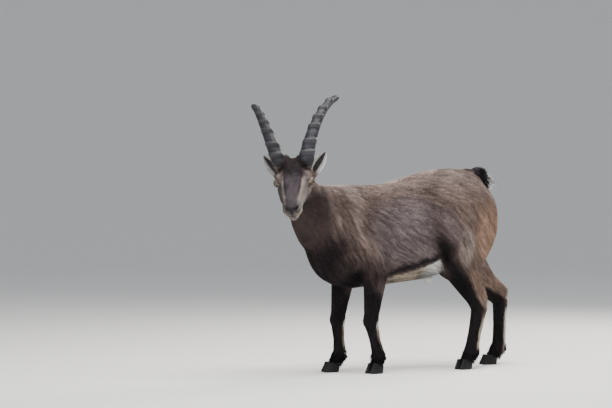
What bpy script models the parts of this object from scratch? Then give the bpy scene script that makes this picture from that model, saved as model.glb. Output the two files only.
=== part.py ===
"""A young male Alpine ibex, life size, standing with its head turned to its left.

Design frame, in metres: x runs back from a plumb line just ahead of the breast, y to the
animal's right, z up from the ground. At the end everything is moved so that the origin is
the middle of the box that holds the animal, on the ground.
"""

import math
import random

import bmesh
import bpy
from mathutils import Euler, Matrix, Vector
from mathutils.bvhtree import BVHTree

# Whole animal
GAP = 0.0003
WELD = 0.000002
VOXEL = 0.0045
HEAD_SMOOTHING = 5
LEG_SMOOTHING = 8
TRUNK_SMOOTHING = 80
BODY_TRIANGLES = 4300
HEAD_TRIANGLES = 2500
SEED = 7

# Trunk: x, height of the back line, height of the belly line, half width
TRUNK = (
    (0.010, 0.640, 0.520, 0.040),
    (0.040, 0.690, 0.455, 0.078),
    (0.085, 0.735, 0.405, 0.096),
    (0.145, 0.790, 0.375, 0.106),
    (0.220, 0.816, 0.362, 0.114),
    (0.300, 0.811, 0.368, 0.128),
    (0.380, 0.814, 0.374, 0.141),
    (0.480, 0.842, 0.384, 0.153),
    (0.580, 0.865, 0.394, 0.155),
    (0.660, 0.880, 0.410, 0.145),
    (0.740, 0.886, 0.450, 0.130),
    (0.815, 0.882, 0.510, 0.116),
    (0.875, 0.862, 0.575, 0.098),
    (0.920, 0.815, 0.630, 0.070),
    (0.945, 0.760, 0.670, 0.030),
)
WIDEST = 0.42
BACK_POWER = 1.75
BELLY_POWER = 2.15

# Neck: centre, half height, half width
NECK = (
    ((0.210, 0.000, 0.628), 0.185, 0.094),
    ((0.120, -0.004, 0.648), 0.177, 0.090),
    ((0.050, -0.020, 0.679), 0.153, 0.081),
    ((-0.005, -0.042, 0.719), 0.118, 0.071),
    ((-0.045, -0.068, 0.756), 0.084, 0.060),
    ((-0.078, -0.093, 0.800), 0.060, 0.050),
)

# Head: where it is held, then its sizes in its own frame (x to the nose, y left, z up)
EYE_LINE = Vector((-0.139, -0.128, 0.820))
HEAD_SCALE = 1.15
HEAD_TURN = math.radians(55)
HEAD_NOD = math.radians(28)
HEAD_TILT = math.radians(4.5)
SKULL = (
    (-0.130, 0.000, -0.060, 0.036),
    (-0.108, 0.032, -0.090, 0.053),
    (-0.070, 0.068, -0.110, 0.064),
    (-0.030, 0.066, -0.108, 0.064),
    (0.010, 0.052, -0.094, 0.058),
    (0.050, 0.042, -0.080, 0.048),
    (0.095, 0.035, -0.070, 0.039),
    (0.135, 0.030, -0.066, 0.035),
    (0.162, 0.025, -0.060, 0.035),
    (0.182, 0.014, -0.046, 0.029),
    (0.192, 0.000, -0.030, 0.016),
)
SKULL_WIDEST = 0.62
SKULL_POWER = 2.3

EYE_RADIUS = 0.0150
EYE_CENTRE = Vector((0.003, 0.0582, 0.004))
EYE_AXIS = Vector((0.42, 0.90, 0.10)).normalized()
LID_RADIUS = 0.0030
LID_HALF_LENGTH = 0.0155
LID_HALF_HEIGHT = 0.0105

MOUTH_FRONT = -0.036
MOUTH_CORNER = (0.098, -0.040)
MOUTH_GROOVE = 0.0016
NOSTRIL = Vector((0.181, 0.0165, -0.004))

# Horns, in the head's frame
HORN_ROOT = Vector((-0.060, 0.047, 0.052))
HORN_LENGTH = {"left": 0.326, "right": 0.310}
HORN_SPREAD = {"left": 0.118, "right": 0.106}
HORN_FLARE = {"left": 1.30, "right": 1.00}
HORN_SUNK = 0.06
HORN_START = math.radians(118)
HORN_TURN = math.radians(80)
HORN_HALF_DEPTH = 0.0330
HORN_HALF_WIDTH = 0.0290
HORN_KNOBS = (0.10, 0.22, 0.39, 0.51, 0.64, 0.80)
HORN_KNOB_HEIGHT = 0.0065
HORN_KNOB_LENGTH = 0.018
HORN_RINGS = 42
HORN_SIDES = 10

# Ears, in the head's frame
EAR_ROOT = Vector((-0.085, 0.065, -0.016))
EAR_LENGTH = 0.110
EAR_HALF_WIDTH = 0.0235
EAR_WALL = 0.0042
EAR_AXIS = Vector((-0.654, 0.47, 0.592))
EAR_OPENING = Vector((0.75, 0.45, 0.40))
EAR_SIDES = 7
EAR_FILLED = 0.2
# Along the ear: share of its length, share of its width, how far round it curls
EAR_SHAPE = (
    (0.00, 0.48, 1.50),
    (0.16, 0.66, 1.50),
    (0.26, 0.80, 1.60),
    (0.40, 0.96, 1.45),
    (0.56, 1.00, 1.20),
    (0.72, 0.86, 1.05),
    (0.86, 0.56, 0.95),
    (0.95, 0.28, 0.85),
    (1.00, 0.10, 0.80),
)

# Legs: the joints of each leg in the side view, then the girths that all share
STANCE = {
    "foreleg_left": {
        "side": -1,
        "joints": ((0.190, 0.100, 0.600), (0.288, 0.106, 0.450), (0.273, 0.086, 0.226),
                   (0.312, 0.085, 0.082), (0.300, 0.085, 0.012)),
        "toe_out": math.radians(8),
    },
    "foreleg_right": {
        "side": 1,
        "joints": ((0.180, 0.100, 0.600), (0.262, 0.106, 0.450), (0.214, 0.086, 0.226),
                   (0.225, 0.085, 0.084), (0.188, 0.086, 0.012)),
        "toe_out": math.radians(14),
    },
    "hindleg_left": {
        "side": -1,
        "joints": ((0.800, 0.075, 0.720), (0.675, 0.112, 0.490), (0.838, 0.092, 0.268),
                   (0.800, 0.088, 0.085), (0.764, 0.088, 0.012)),
        "toe_out": math.radians(10),
    },
    "hindleg_right": {
        "side": 1,
        "joints": ((0.815, 0.075, 0.720), (0.795, 0.112, 0.470), (1.084, 0.092, 0.292),
                   (1.074, 0.088, 0.085), (1.026, 0.088, 0.012)),
        "toe_out": math.radians(10),
    },
}
# The flesh that goes with each leg: an outline in the side view, from this far out
LEG_REGIONS = {
    "foreleg_left": ((0.205, 0.430), (0.240, 0.490), (0.350, 0.490), (0.385, 0.430),
                     (0.385, -0.020), (0.205, -0.020)),
    "foreleg_right": ((0.150, 0.430), (0.190, 0.490), (0.320, 0.490), (0.355, 0.430),
                      (0.355, -0.020), (0.150, -0.020)),
    "hindleg_left": ((0.590, 0.470), (0.650, 0.560), (0.960, 0.690), (1.000, 0.600),
                     (1.000, -0.020), (0.650, -0.020)),
    "hindleg_right": ((0.680, 0.430), (0.720, 0.560), (0.960, 0.690), (1.300, 0.600),
                      (1.300, -0.020), (0.900, -0.020)),
}
LEG_INNER = {"fore": 0.030, "hind": 0.010}
HEAD_CUT = Vector((-0.118, 0.0, -0.020))
HEAD_CUT_NORMAL = Vector((0.86, 0.0, 0.50)).normalized()
NECK_CUT = Vector((0.115, 0.0, 0.650))
NECK_CUT_NORMAL = Vector((-0.75, -0.10, 0.65)).normalized()
# Each bone: how far along it, half depth, half width
FORE_GIRTHS = (
    ((0.0, 0.080, 0.030), (0.5, 0.085, 0.046), (1.0, 0.062, 0.044)),
    ((0.0, 0.062, 0.043), (0.25, 0.055, 0.040), (0.6, 0.042, 0.034), (0.88, 0.034, 0.029),
     (1.0, 0.036, 0.031)),
    ((0.0, 0.036, 0.031), (0.22, 0.029, 0.026), (0.6, 0.025, 0.023), (0.85, 0.027, 0.026),
     (1.0, 0.031, 0.029)),
    ((0.0, 0.031, 0.029), (0.5, 0.027, 0.028), (1.0, 0.031, 0.031)),
)
HIND_GIRTHS = (
    ((0.0, 0.120, 0.050), (0.35, 0.125, 0.062), (0.7, 0.105, 0.062), (1.0, 0.072, 0.048)),
    ((0.0, 0.072, 0.048), (0.25, 0.068, 0.046), (0.55, 0.052, 0.036), (0.82, 0.038, 0.028),
     (1.0, 0.038, 0.030)),
    ((0.0, 0.038, 0.031), (0.25, 0.034, 0.028), (0.6, 0.031, 0.025), (0.85, 0.031, 0.027),
     (1.0, 0.034, 0.030)),
    ((0.0, 0.034, 0.030), (0.5, 0.029, 0.029), (1.0, 0.032, 0.032)),
)
CALF_OUT = 0.098
CALF_RADII = (0.062, 0.036, 0.060)
CORONET = 0.040
HOOF_LENGTH = 0.074
HOOF_WIDTH = 0.027
HOOF_SPREAD = 0.0165
HOOF_TOP_SHARE = 0.80
HOOF_SIDES = 12
HOOF_AHEAD = 0.012
CORONET_SLOPE = 0.16
DEWCLAW_RADIUS = 0.010

# Tail
TAIL_ROOT = Vector((0.838, 0.0, 0.874))
TAIL_TIP = Vector((0.944, 0.0, 0.816))
TAIL_BEND = 0.006
TAIL_HALF_WIDTH = 0.019
TAIL_LOCKS = 28
TAIL_LOCK_LENGTH = 0.040
SHEATH = Vector((0.628, 0.0, 0.392))
SHEATH_LOCKS = 9
SHEATH_LOCK_LENGTH = 0.036

COLOURS = {
    "coat": ((0.190, 0.145, 0.115, 1), 0.85),
    "horn": ((0.150, 0.140, 0.150, 1), 0.55),
    "hoof": ((0.030, 0.026, 0.026, 1), 0.50),
    "eye": ((0.200, 0.110, 0.035, 1), 0.08),
}


def clear_scene():
    for old in list(bpy.data.objects):
        bpy.data.objects.remove(old)


def material(name):
    made = bpy.data.materials.get(name)
    if made:
        return made
    colour, roughness = COLOURS[name]
    made = bpy.data.materials.new(name)
    made.use_nodes = True
    shader = made.node_tree.nodes["Principled BSDF"]
    shader.inputs["Base Color"].default_value = colour
    shader.inputs["Roughness"].default_value = roughness
    made.diffuse_color = colour
    return made


def mesh_object(name, bm, finish="coat"):
    mesh = bpy.data.meshes.new(name)
    bmesh.ops.recalc_face_normals(bm, faces=bm.faces)
    if bm.calc_volume(signed=True) < 0.0:
        bmesh.ops.reverse_faces(bm, faces=bm.faces)
    bm.to_mesh(mesh)
    bm.free()
    made = bpy.data.objects.new(name, mesh)
    bpy.context.scene.collection.objects.link(made)
    mesh.materials.append(material(finish))
    return made


def activate(obj):
    bpy.ops.object.select_all(action="DESELECT")
    obj.select_set(True)
    bpy.context.view_layer.objects.active = obj


def apply_modifier(obj, kind, **settings):
    activate(obj)
    modifier = obj.modifiers.new(kind.title(), kind)
    for key, value in settings.items():
        setattr(modifier, key, value)
    bpy.ops.object.modifier_apply(modifier=modifier.name)


def to_triangles(obj):
    """Splits every face into triangles and tells whether the solid is still closed."""
    bm = bmesh.new()
    bm.from_mesh(obj.data)
    bmesh.ops.triangulate(bm, faces=bm.faces)
    closed = all(edge.is_manifold for edge in bm.edges)
    bm.to_mesh(obj.data)
    bm.free()
    return closed


def combine(obj, operation, **settings):
    """A Boolean by the exact solver, or by the other one where that leaves an open edge."""
    before = obj.data.copy()
    apply_modifier(obj, "BOOLEAN", operation=operation, solver="EXACT", **settings)
    if not to_triangles(obj):
        obj.data = before
        apply_modifier(obj, "BOOLEAN", operation=operation, solver="MANIFOLD", **settings)
        to_triangles(obj)


def boolean(obj, other, operation):
    """Joins, cuts or intersects obj with other, and then drops other."""
    combine(obj, operation, object=other)
    bpy.data.objects.remove(other)


def fuse(obj, pieces):
    """One union of obj with many closed pieces."""
    group = bpy.data.collections.new("pieces")
    for piece in pieces:
        group.objects.link(piece)
    combine(obj, "UNION", operand_type="COLLECTION", collection=group)
    for piece in pieces:
        bpy.data.objects.remove(piece)
    bpy.data.collections.remove(group)


def copy_of(obj, name):
    made = obj.copy()
    made.data = obj.data.copy()
    made.name = name
    bpy.context.scene.collection.objects.link(made)
    return made


def keep_largest(obj):
    """Drops every loose scrap but the largest closed surface."""
    bm = bmesh.new()
    bm.from_mesh(obj.data)
    unseen = set(bm.faces)
    islands = []
    while unseen:
        front = [unseen.pop()]
        island = []
        while front:
            face = front.pop()
            island.append(face)
            for edge in face.edges:
                for other in edge.link_faces:
                    if other in unseen:
                        unseen.discard(other)
                        front.append(other)
        islands.append(island)
    islands.sort(key=lambda island: sum(f.calc_area() for f in island))
    for island in islands[:-1]:
        bmesh.ops.delete(bm, geom=island, context="FACES")
    bmesh.ops.dissolve_degenerate(bm, dist=WELD, edges=bm.edges)
    bm.to_mesh(obj.data)
    bm.free()


def rings_to_solid(name, rings, finish="coat"):
    """Skins a row of closed rings of points and closes both ends."""
    bm = bmesh.new()
    rows = [[bm.verts.new(point) for point in ring] for ring in rings]
    count = len(rows[0])
    for near, far in zip(rows, rows[1:]):
        for i in range(count):
            j = (i + 1) % count
            bm.faces.new((near[i], near[j], far[j], far[i]))
    for row in (rows[0], rows[-1]):
        middle = bm.verts.new(sum((v.co for v in row), Vector()) / count)
        for i in range(count):
            bm.faces.new((row[i], row[(i + 1) % count], middle))
    return mesh_object(name, bm, finish)


def power_curve(value, power):
    return math.copysign(abs(value) ** (2 / power), value)


def profile_ring(x, top, bottom, half_width, widest, high_power, low_power, sides=32):
    """An upright section at x: fuller below its widest level, narrower above, or the reverse."""
    level = bottom + (top - bottom) * widest
    ring = []
    for i in range(sides):
        angle = math.tau * i / sides
        across, up = math.cos(angle), math.sin(angle)
        power = high_power if up > 0 else low_power
        reach = top - level if up > 0 else level - bottom
        ring.append(Vector((x, half_width * power_curve(across, power),
                            level + reach * power_curve(up, power))))
    return ring


def tube(name, stations, across, sides=20, finish="coat"):
    """A tube through (centre, half depth, half width); across is its sideways direction."""
    centres = [Vector(station[0]) for station in stations]
    rings = []
    for i, (centre, depth, width) in enumerate(stations):
        along = centres[min(i + 1, len(centres) - 1)] - centres[max(i - 1, 0)]
        side = (across - across.project(along)).normalized()
        front = along.cross(side).normalized()
        rings.append([Vector(centre) + front * (depth * math.cos(math.tau * k / sides))
                      + side * (width * math.sin(math.tau * k / sides)) for k in range(sides)])
    return rings_to_solid(name, rings, finish)


def ball(name, centre, radii, turn=(0, 0, 0), segments=24, rings=16, finish="coat"):
    bm = bmesh.new()
    bmesh.ops.create_uvsphere(bm, u_segments=segments, v_segments=rings, radius=1)
    place = Matrix.Translation(centre) @ Euler(turn).to_matrix().to_4x4()
    bm.transform(place @ Matrix.Diagonal((*radii, 1)))
    return mesh_object(name, bm, finish)


def head_frame():
    """The matrix from the head's own frame to the design frame."""
    forward, left, up = Vector((-1, 0, 0)), Vector((0, -1, 0)), Vector((0, 0, 1))
    turn = Matrix.Rotation(HEAD_TURN, 3, up)
    forward, left = turn @ forward, turn @ left
    nod = Matrix.Rotation(HEAD_NOD, 3, left)
    forward, up = nod @ forward, nod @ up
    tilt = Matrix.Rotation(HEAD_TILT, 3, forward)
    left, up = tilt @ left, tilt @ up
    rows = Matrix((forward, left, up)).transposed()
    return Matrix.Translation(EYE_LINE) @ (rows * HEAD_SCALE).to_4x4()


HEAD = head_frame()
HEAD_INVERSE = HEAD.inverted()


def in_head(x, y, z):
    return HEAD @ Vector((x, y, z))


def mirrored(point, side):
    """side 1 is the animal's left in the head's frame, -1 its right."""
    return Vector((point.x, point.y * side, point.z))


def bone(name, start, end, girths):
    """One stretch of a leg between two joints."""
    stations = []
    for share, depth, width in girths:
        stations.append((start.lerp(end, share), depth, width))
    return tube(name, stations, Vector((0, 1, 0)))


def leg_joints(plan):
    return [Vector((x, y * plan["side"], z)) for x, y, z in plan["joints"]]


def leg_masses(name, plan):
    joints = leg_joints(plan)
    girths = FORE_GIRTHS if name.startswith("fore") else HIND_GIRTHS
    pieces = [bone(f"{name}_{i}", joints[i], joints[i + 1], girths[i]) for i in range(4)]
    side = plan["side"]
    if name.startswith("fore"):
        elbow, knee = joints[1], joints[2]
        pieces.append(ball("olecranon", elbow + Vector((0.040, 0, 0.020)), (0.030, 0.024, 0.040)))
        pieces.append(ball("blade", Vector((0.205, 0.076 * side, 0.640)), (0.085, 0.040, 0.150),
                           (0, -0.25, 0)))
        pieces.append(ball("point_of_shoulder", Vector((0.128, 0.072 * side, 0.545)),
                           (0.055, 0.046, 0.075)))
        pieces.append(ball("knee", knee, (0.037, 0.031, 0.038)))
    else:
        stifle, hock = joints[1], joints[2]
        buttock = Vector((0.875, 0.085 * side, 0.640))
        back = stifle.lerp(hock, 0.40) + Vector((0.070, 0, 0.055))
        pieces.append(tube(name + "_heel", (
            (hock + Vector((-0.012, 0, -0.045)), 0.018, 0.020),
            (hock + Vector((0.022, 0, -0.004)), 0.021, 0.020),
            (hock + Vector((0.026, 0, 0.034)), 0.019, 0.016),
            (hock.lerp(back, 0.5) + Vector((0.012, 0, 0.012)), 0.020, 0.017),
            (back, 0.036, 0.028),
            (back.lerp(buttock, 0.5) + Vector((0.010, 0, 0)), 0.058, 0.042),
            (buttock, 0.075, 0.050),
        ), Vector((0, 1, 0))))
        calf = (stifle + back + back.lerp(buttock, 0.5)) / 3
        calf.y = CALF_OUT * side
        pieces.append(ball("calf", calf, CALF_RADII))
        pieces.append(ball("buttock", Vector((0.865, 0.070 * side, 0.690)), (0.085, 0.055, 0.120),
                           (0, -0.2, 0)))
        pieces.append(ball("haunch", Vector((0.775, 0.088 * side, 0.640)), (0.115, 0.062, 0.150),
                           (0, 0.25, 0)))
    return pieces


def head_masses():
    rings = []
    for x, top, bottom, half_width in SKULL:
        ring = profile_ring(x, top, bottom, half_width, SKULL_WIDEST, SKULL_POWER, 2.0)
        rings.append([HEAD @ point for point in ring])
    pieces = [rings_to_solid("skull", rings)]

    def lump(name, place, radii, turn=(0, 0, 0)):
        made = ball(name, Vector(place), radii, turn)
        made.data.transform(HEAD)
        pieces.append(made)

    for side in (1, -1):
        lump("brow", (-0.008, 0.046 * side, 0.026), (0.030, 0.019, 0.014))
        lump("cheekbone", (0.010, 0.048 * side, -0.020), (0.040, 0.015, 0.014), (0, 0.2, 0))
        lump("jowl", (-0.040, 0.041 * side, -0.062), (0.055, 0.021, 0.046))
        lump("nostril_wing", (0.173, 0.0185 * side, -0.002), (0.017, 0.013, 0.016))
        lump("upper_lip", (0.160, 0.018 * side, -0.024), (0.027, 0.018, 0.016))
        lump("horn_boss", (-0.062, 0.033 * side, 0.046), (0.038, 0.030, 0.032))
        lump("ear_root", (-0.082, 0.050 * side, -0.026), (0.026, 0.020, 0.026))
    lump("nose_tip", (0.181, 0.0, -0.010), (0.014, 0.016, 0.017))
    lump("chin", (0.142, 0.0, -0.058), (0.027, 0.020, 0.015))
    lump("lower_lip", (0.150, 0.0, -0.046), (0.026, 0.023, 0.010))
    return pieces


def trunk_share(point):
    """How much of the strong smoothing a point gets: all of it on the trunk, none in the head."""
    if in_the_head(point):
        return 0.0
    low = (point.z - 0.34) / 0.10
    local = HEAD_INVERSE @ point
    near_head = (-0.125 - local.x) / 0.06 if local.z > -0.15 else 1.0
    return max(0.0, min(1.0, low, near_head))


def smooth_where(body, share, rounds):
    group = body.vertex_groups.new(name="smoothed")
    for vertex in body.data.vertices:
        weight = share(vertex.co)
        if weight > 0.0:
            group.add([vertex.index], weight, "REPLACE")
    apply_modifier(body, "SMOOTH", factor=0.5, iterations=rounds, vertex_group="smoothed")
    body.vertex_groups.clear()


def body_mass():
    """Every mass of flesh as one smooth closed skin."""
    trunk = [profile_ring(x, top, bottom, half, WIDEST, BACK_POWER, BELLY_POWER)
             for x, top, bottom, half in TRUNK]
    body = rings_to_solid("body", trunk)
    pieces = [tube("neck_mass", NECK, Vector((0.15, 1, 0)), 24)]
    pieces += head_masses()
    for name, plan in STANCE.items():
        pieces += leg_masses(name, plan)
    pieces.append(ball("brisket", Vector((0.150, 0, 0.470)), (0.080, 0.070, 0.085)))
    activate(body)
    for piece in pieces:
        piece.select_set(True)
    bpy.ops.object.join()
    apply_modifier(body, "REMESH", mode="VOXEL", voxel_size=VOXEL, adaptivity=0.0)
    keep_largest(body)
    smooth_where(body, lambda point: 1.0, HEAD_SMOOTHING)
    smooth_where(body, lambda point: 0.0 if in_the_head(point) else 1.0,
                 LEG_SMOOTHING - HEAD_SMOOTHING)
    smooth_where(body, trunk_share, TRUNK_SMOOTHING)
    thin_part(body, lambda point: not in_the_head(point), BODY_TRIANGLES)
    thin_part(body, in_the_head, HEAD_TRIANGLES)
    return body


def in_the_head(point):
    local = HEAD_INVERSE @ point
    return local.x > -0.125 and abs(local.y) < 0.12 and -0.15 < local.z < 0.15


def thin_part(body, chosen, target):
    """Thins the faces of the chosen vertices down to a target and leaves all others alone."""
    picked = [chosen(vertex.co) for vertex in body.data.vertices]
    inside = outside = 0
    for polygon in body.data.polygons:
        count = len(polygon.vertices) - 2
        if all(picked[i] for i in polygon.vertices):
            inside += count
        else:
            outside += count
    body.vertex_groups.clear()
    group = body.vertex_groups.new(name="thinned")
    group.add([i for i, state in enumerate(picked) if state], 1.0, "REPLACE")
    apply_modifier(body, "DECIMATE", decimate_type="COLLAPSE", vertex_group="thinned",
                   ratio=(outside + target) / (outside + inside), vertex_group_factor=1.0,
                   use_collapse_triangulate=True)
    body.vertex_groups.clear()


def grown(polygon, by):
    """A convex outline in the side view, each of its sides moved out by the same amount."""
    count = len(polygon)
    middle = sum((Vector(p) for p in polygon), Vector((0, 0))) / count
    lines = []
    for i in range(count):
        start, end = Vector(polygon[i]), Vector(polygon[(i + 1) % count])
        normal = Vector((end.y - start.y, start.x - end.x)).normalized()
        if normal.dot(start - middle) < 0:
            normal = -normal
        lines.append((normal, normal.dot(start) + by))
    corners = []
    for i in range(count):
        (a, reach_a), (b, reach_b) = lines[i - 1], lines[i]
        cross = a.x * b.y - a.y * b.x
        corners.append(((reach_a * b.y - reach_b * a.y) / cross,
                        (a.x * reach_b - b.x * reach_a) / cross))
    return corners


def leg_region(name, by):
    """The block of space whose flesh belongs to one leg."""
    side = STANCE[name]["side"]
    polygon = grown(LEG_REGIONS[name], by)
    inner = LEG_INNER["fore" if name.startswith("fore") else "hind"] - by
    rings = [[Vector((x, y * side, z)) for x, z in polygon] for y in (inner, 0.4)]
    return rings_to_solid("region", rings)


def cut_off(obj, point, normal):
    """Cuts a solid with a plane and closes it; what lies beyond, along the normal, goes."""
    bm = bmesh.new()
    bm.from_mesh(obj.data)
    bmesh.ops.bisect_plane(bm, geom=bm.verts[:] + bm.edges[:] + bm.faces[:], plane_co=point,
                           plane_no=normal, clear_outer=True, dist=0.00001)
    edges = [edge for edge in bm.edges if edge.is_boundary]
    bmesh.ops.holes_fill(bm, edges=edges, sides=0)
    bmesh.ops.triangulate(bm, faces=bm.faces)
    bm.to_mesh(obj.data)
    bm.free()


def split_by_plane(body, name, point, normal):
    """Takes off the flesh beyond a plane as its own solid, with the gap between the two."""
    piece = copy_of(body, name)
    cut_off(piece, point, -normal)
    cut_off(body, point - normal * GAP, normal)
    keep_largest(piece)
    keep_largest(body)
    return piece


def split_by_block(body, name, region):
    """Takes the flesh inside a region out of the body, with the standing gap between them."""
    piece = copy_of(body, name)
    boolean(piece, region(0.0), "INTERSECT")
    boolean(body, region(GAP), "DIFFERENCE")
    keep_largest(piece)
    keep_largest(body)
    return piece


def swollen(obj, by=GAP):
    """A copy of a solid with its skin moved out, to cut a socket with."""
    made = copy_of(obj, obj.name + "_socket")
    bm = bmesh.new()
    bm.from_mesh(made.data)
    bm.normal_update()
    shifts = [(v, v.normal.copy()) for v in bm.verts]
    for vertex, normal in shifts:
        vertex.co += normal * by * 1.15
    bm.to_mesh(made.data)
    bm.free()
    return made


def horn_profile(t):
    """Half width of a horn along its length, as a share of that at its base."""
    if t < 0.9:
        return 1.0 - 0.60 * t / 0.9
    return 0.40 * math.sqrt(max(0.0, 1.0 - ((t - 0.9) / 0.1) ** 2)) * 0.85 + 0.06


def horn_knob(t, length):
    lift = 0.0
    for place in HORN_KNOBS:
        away = (t - place) * length / HORN_KNOB_LENGTH
        lift += math.exp(-(2.2 * away) ** 2)
    return lift


def horn(word, side):
    rings = []
    length, spread, flare = HORN_LENGTH[word], HORN_SPREAD[word], HORN_FLARE[word]
    radius = length / HORN_TURN
    for i in range(HORN_RINGS):
        t = (1.0 + HORN_SUNK) * i / (HORN_RINGS - 1) - HORN_SUNK
        angle = HORN_START + HORN_TURN * t
        x = HORN_ROOT.x + radius * (math.sin(angle) - math.sin(HORN_START))
        z = HORN_ROOT.z + radius * (math.cos(HORN_START) - math.cos(angle))
        y = HORN_ROOT.y + spread * max(0.0, t) ** flare
        front = Vector((math.sin(angle), 0.25, -math.cos(angle))).normalized()
        out = Vector((-0.20 * math.sin(angle), 1.0, 0.20 * math.cos(angle))).normalized()
        share = horn_profile(t)
        knob = HORN_KNOB_HEIGHT * horn_knob(t, length) * min(1.0, share * 1.6)
        ring = []
        for k in range(HORN_SIDES):
            around = math.tau * k / HORN_SIDES
            ahead, across = math.cos(around), math.sin(around)
            power = 2.7 if ahead > 0 else 1.9
            lift = knob * max(0.0, ahead + 0.35)
            reach = HORN_HALF_DEPTH * share * power_curve(ahead, power)
            wide = HORN_HALF_WIDTH * share * power_curve(across, power)
            inward = lift * (0.9 * min(0.0, across) + 0.2 * max(0.0, across))
            point = Vector((x, y, z)) + front * (reach + lift) + out * (wide + inward)
            ring.append(HEAD @ mirrored(point, side))
        rings.append(ring)
    return rings_to_solid(f"horn_{word}", rings, "horn")


def ear(name, side):
    along = EAR_AXIS.normalized()
    opening = (EAR_OPENING - EAR_OPENING.project(along)).normalized()
    across = along.cross(opening)
    rings = []
    for t, width, curl in EAR_SHAPE:
        half = EAR_HALF_WIDTH * width
        radius = half / math.sin(min(curl, math.pi / 2))
        bend = opening * (0.010 * t * t)
        middle = EAR_ROOT + along * (EAR_LENGTH * t - 0.014) + bend
        outer, inner = [], []
        for k in range(EAR_SIDES):
            s = -1 + 2 * k / (EAR_SIDES - 1)
            wall = EAR_WALL * (1.0 - 0.65 * s ** 4) * (1.0 - 0.35 * t)
            back = radius * (math.cos(s * curl) - math.cos(curl))
            outer.append(middle + across * radius * math.sin(s * curl) - opening * back)
            near = max(0.2 * radius, radius - wall)
            back = near * math.cos(s * curl) - radius * math.cos(curl)
            if t < EAR_FILLED:
                back = -0.001
            inner.append(middle + across * near * math.sin(s * curl) - opening * back)
        ring = outer + inner[::-1]
        rings.append([HEAD @ mirrored(point, side) for point in ring])
    return rings_to_solid(name, rings)


def eyeball(name, side):
    bm = bmesh.new()
    bmesh.ops.create_uvsphere(bm, u_segments=18, v_segments=10, radius=EYE_RADIUS)
    turn = mirrored(EYE_AXIS, side).to_track_quat("Z", "Y").to_matrix().to_4x4()
    bm.transform(HEAD @ Matrix.Translation(mirrored(EYE_CENTRE, side)) @ turn)
    return mesh_object(name, bm, "eye")


def lids(side):
    """The rim of both lids: an almond loop lying on the eyeball."""
    axis = EYE_AXIS
    level = (Vector((1, 0, -0.30)) - Vector((1, 0, -0.30)).project(axis)).normalized()
    upright = axis.cross(level)
    if upright.z < 0:
        upright = -upright
    steps = 18
    loop = []
    for i in range(steps):
        around = math.tau * i / steps
        corner = abs(math.cos(around)) ** 2.0
        height = LID_HALF_HEIGHT * math.sin(around) * (1.0 - 0.35 * corner)
        point = axis * EYE_RADIUS + level * LID_HALF_LENGTH * math.cos(around) + upright * height
        loop.append(EYE_CENTRE + point.normalized() * (EYE_RADIUS + 0.0010))
    rings = []
    for i in range(steps):
        along = (loop[(i + 1) % steps] - loop[i - 1]).normalized()
        outward = (loop[i] - EYE_CENTRE).normalized()
        across = along.cross(outward)
        rings.append([HEAD @ mirrored(loop[i] + outward * LID_RADIUS * math.cos(math.tau * k / 6)
                                      + across * LID_RADIUS * 1.25 * math.sin(math.tau * k / 6), side)
                      for k in range(6)])
    bm = bmesh.new()
    rows = [[bm.verts.new(point) for point in ring] for ring in rings]
    for i in range(steps):
        near, far = rows[i], rows[(i + 1) % steps]
        for k in range(6):
            j = (k + 1) % 6
            bm.faces.new((near[k], near[j], far[j], far[k]))
    return mesh_object("lids", bm)


def mouth_groove(head):
    """The line between the lips, from one corner round the front to the other."""
    tree = BVHTree.FromPolygons([v.co for v in head.data.vertices],
                                [tuple(p.vertices) for p in head.data.polygons])
    points = []
    steps = 22
    for i in range(steps + 1):
        around = math.radians(-90 + 180 * i / steps)
        ahead = max(0.0, math.cos(around)) ** 0.8
        x = MOUTH_CORNER[0] + (0.150 - MOUTH_CORNER[0]) * ahead
        z = MOUTH_CORNER[1] + (MOUTH_FRONT - MOUTH_CORNER[1]) * ahead
        start = in_head(x, 0.0, z)
        aim = in_head(x + 0.6 * ahead * math.cos(around), math.sin(around), z) - start
        place = tree.ray_cast(start, aim.normalized())[0]
        if place:
            points.append(place)
    rings = []
    for i, point in enumerate(points):
        along = points[min(i + 1, len(points) - 1)] - points[max(i - 1, 0)]
        side = along.cross(HEAD.to_3x3() @ Vector((0, 0, 1))).normalized()
        up = side.cross(along).normalized()
        taper = 0.45 if i in (0, len(points) - 1) else 1.0
        rings.append([point + side * MOUTH_GROOVE * 1.5 * taper * math.cos(math.tau * k / 6)
                      + up * MOUTH_GROOVE * taper * math.sin(math.tau * k / 6) for k in range(6)])
    return rings_to_solid("mouth", rings)


def nostril(side):
    made = ball("nostril", mirrored(NOSTRIL, side), (0.0085, 0.0042, 0.0050),
                (0.5 * side, 0.45, 0.6 * side), 14, 8)
    made.data.transform(HEAD)
    return made


def finish_head(head):
    parts = []
    for side, word in ((1, "left"), (-1, "right")):
        boolean(head, lids(side), "UNION")
        boolean(head, nostril(side), "DIFFERENCE")
    boolean(head, mouth_groove(head), "DIFFERENCE")
    for side, word in ((1, "left"), (-1, "right")):
        for made in (eyeball(f"eye_{word}", side), horn(word, side),
                     ear(f"ear_{word}", side)):
            boolean(head, swollen(made), "DIFFERENCE")
            parts.append(made)
    keep_largest(head)
    return parts


def foot_frame(name):
    """Where a foot stands: its middle on the ground, its forward and its outer direction."""
    plan = STANCE[name]
    toe = leg_joints(plan)[-1]
    side = plan["side"]
    turn = plan["toe_out"] * side
    forward = Vector((-math.cos(turn), math.sin(turn), 0))
    outward = Vector((0, 0, 1)).cross(forward) * -side
    if outward.y * side < 0:
        outward = -outward
    middle = Vector((toe.x, toe.y, 0)) + forward * HOOF_AHEAD
    return middle, forward, outward


def coronet_plane(name):
    middle, forward, _ = foot_frame(name)
    normal = (Vector((0, 0, -1)) + forward * CORONET_SLOPE).normalized()
    return middle + Vector((0, 0, CORONET)), normal


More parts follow.
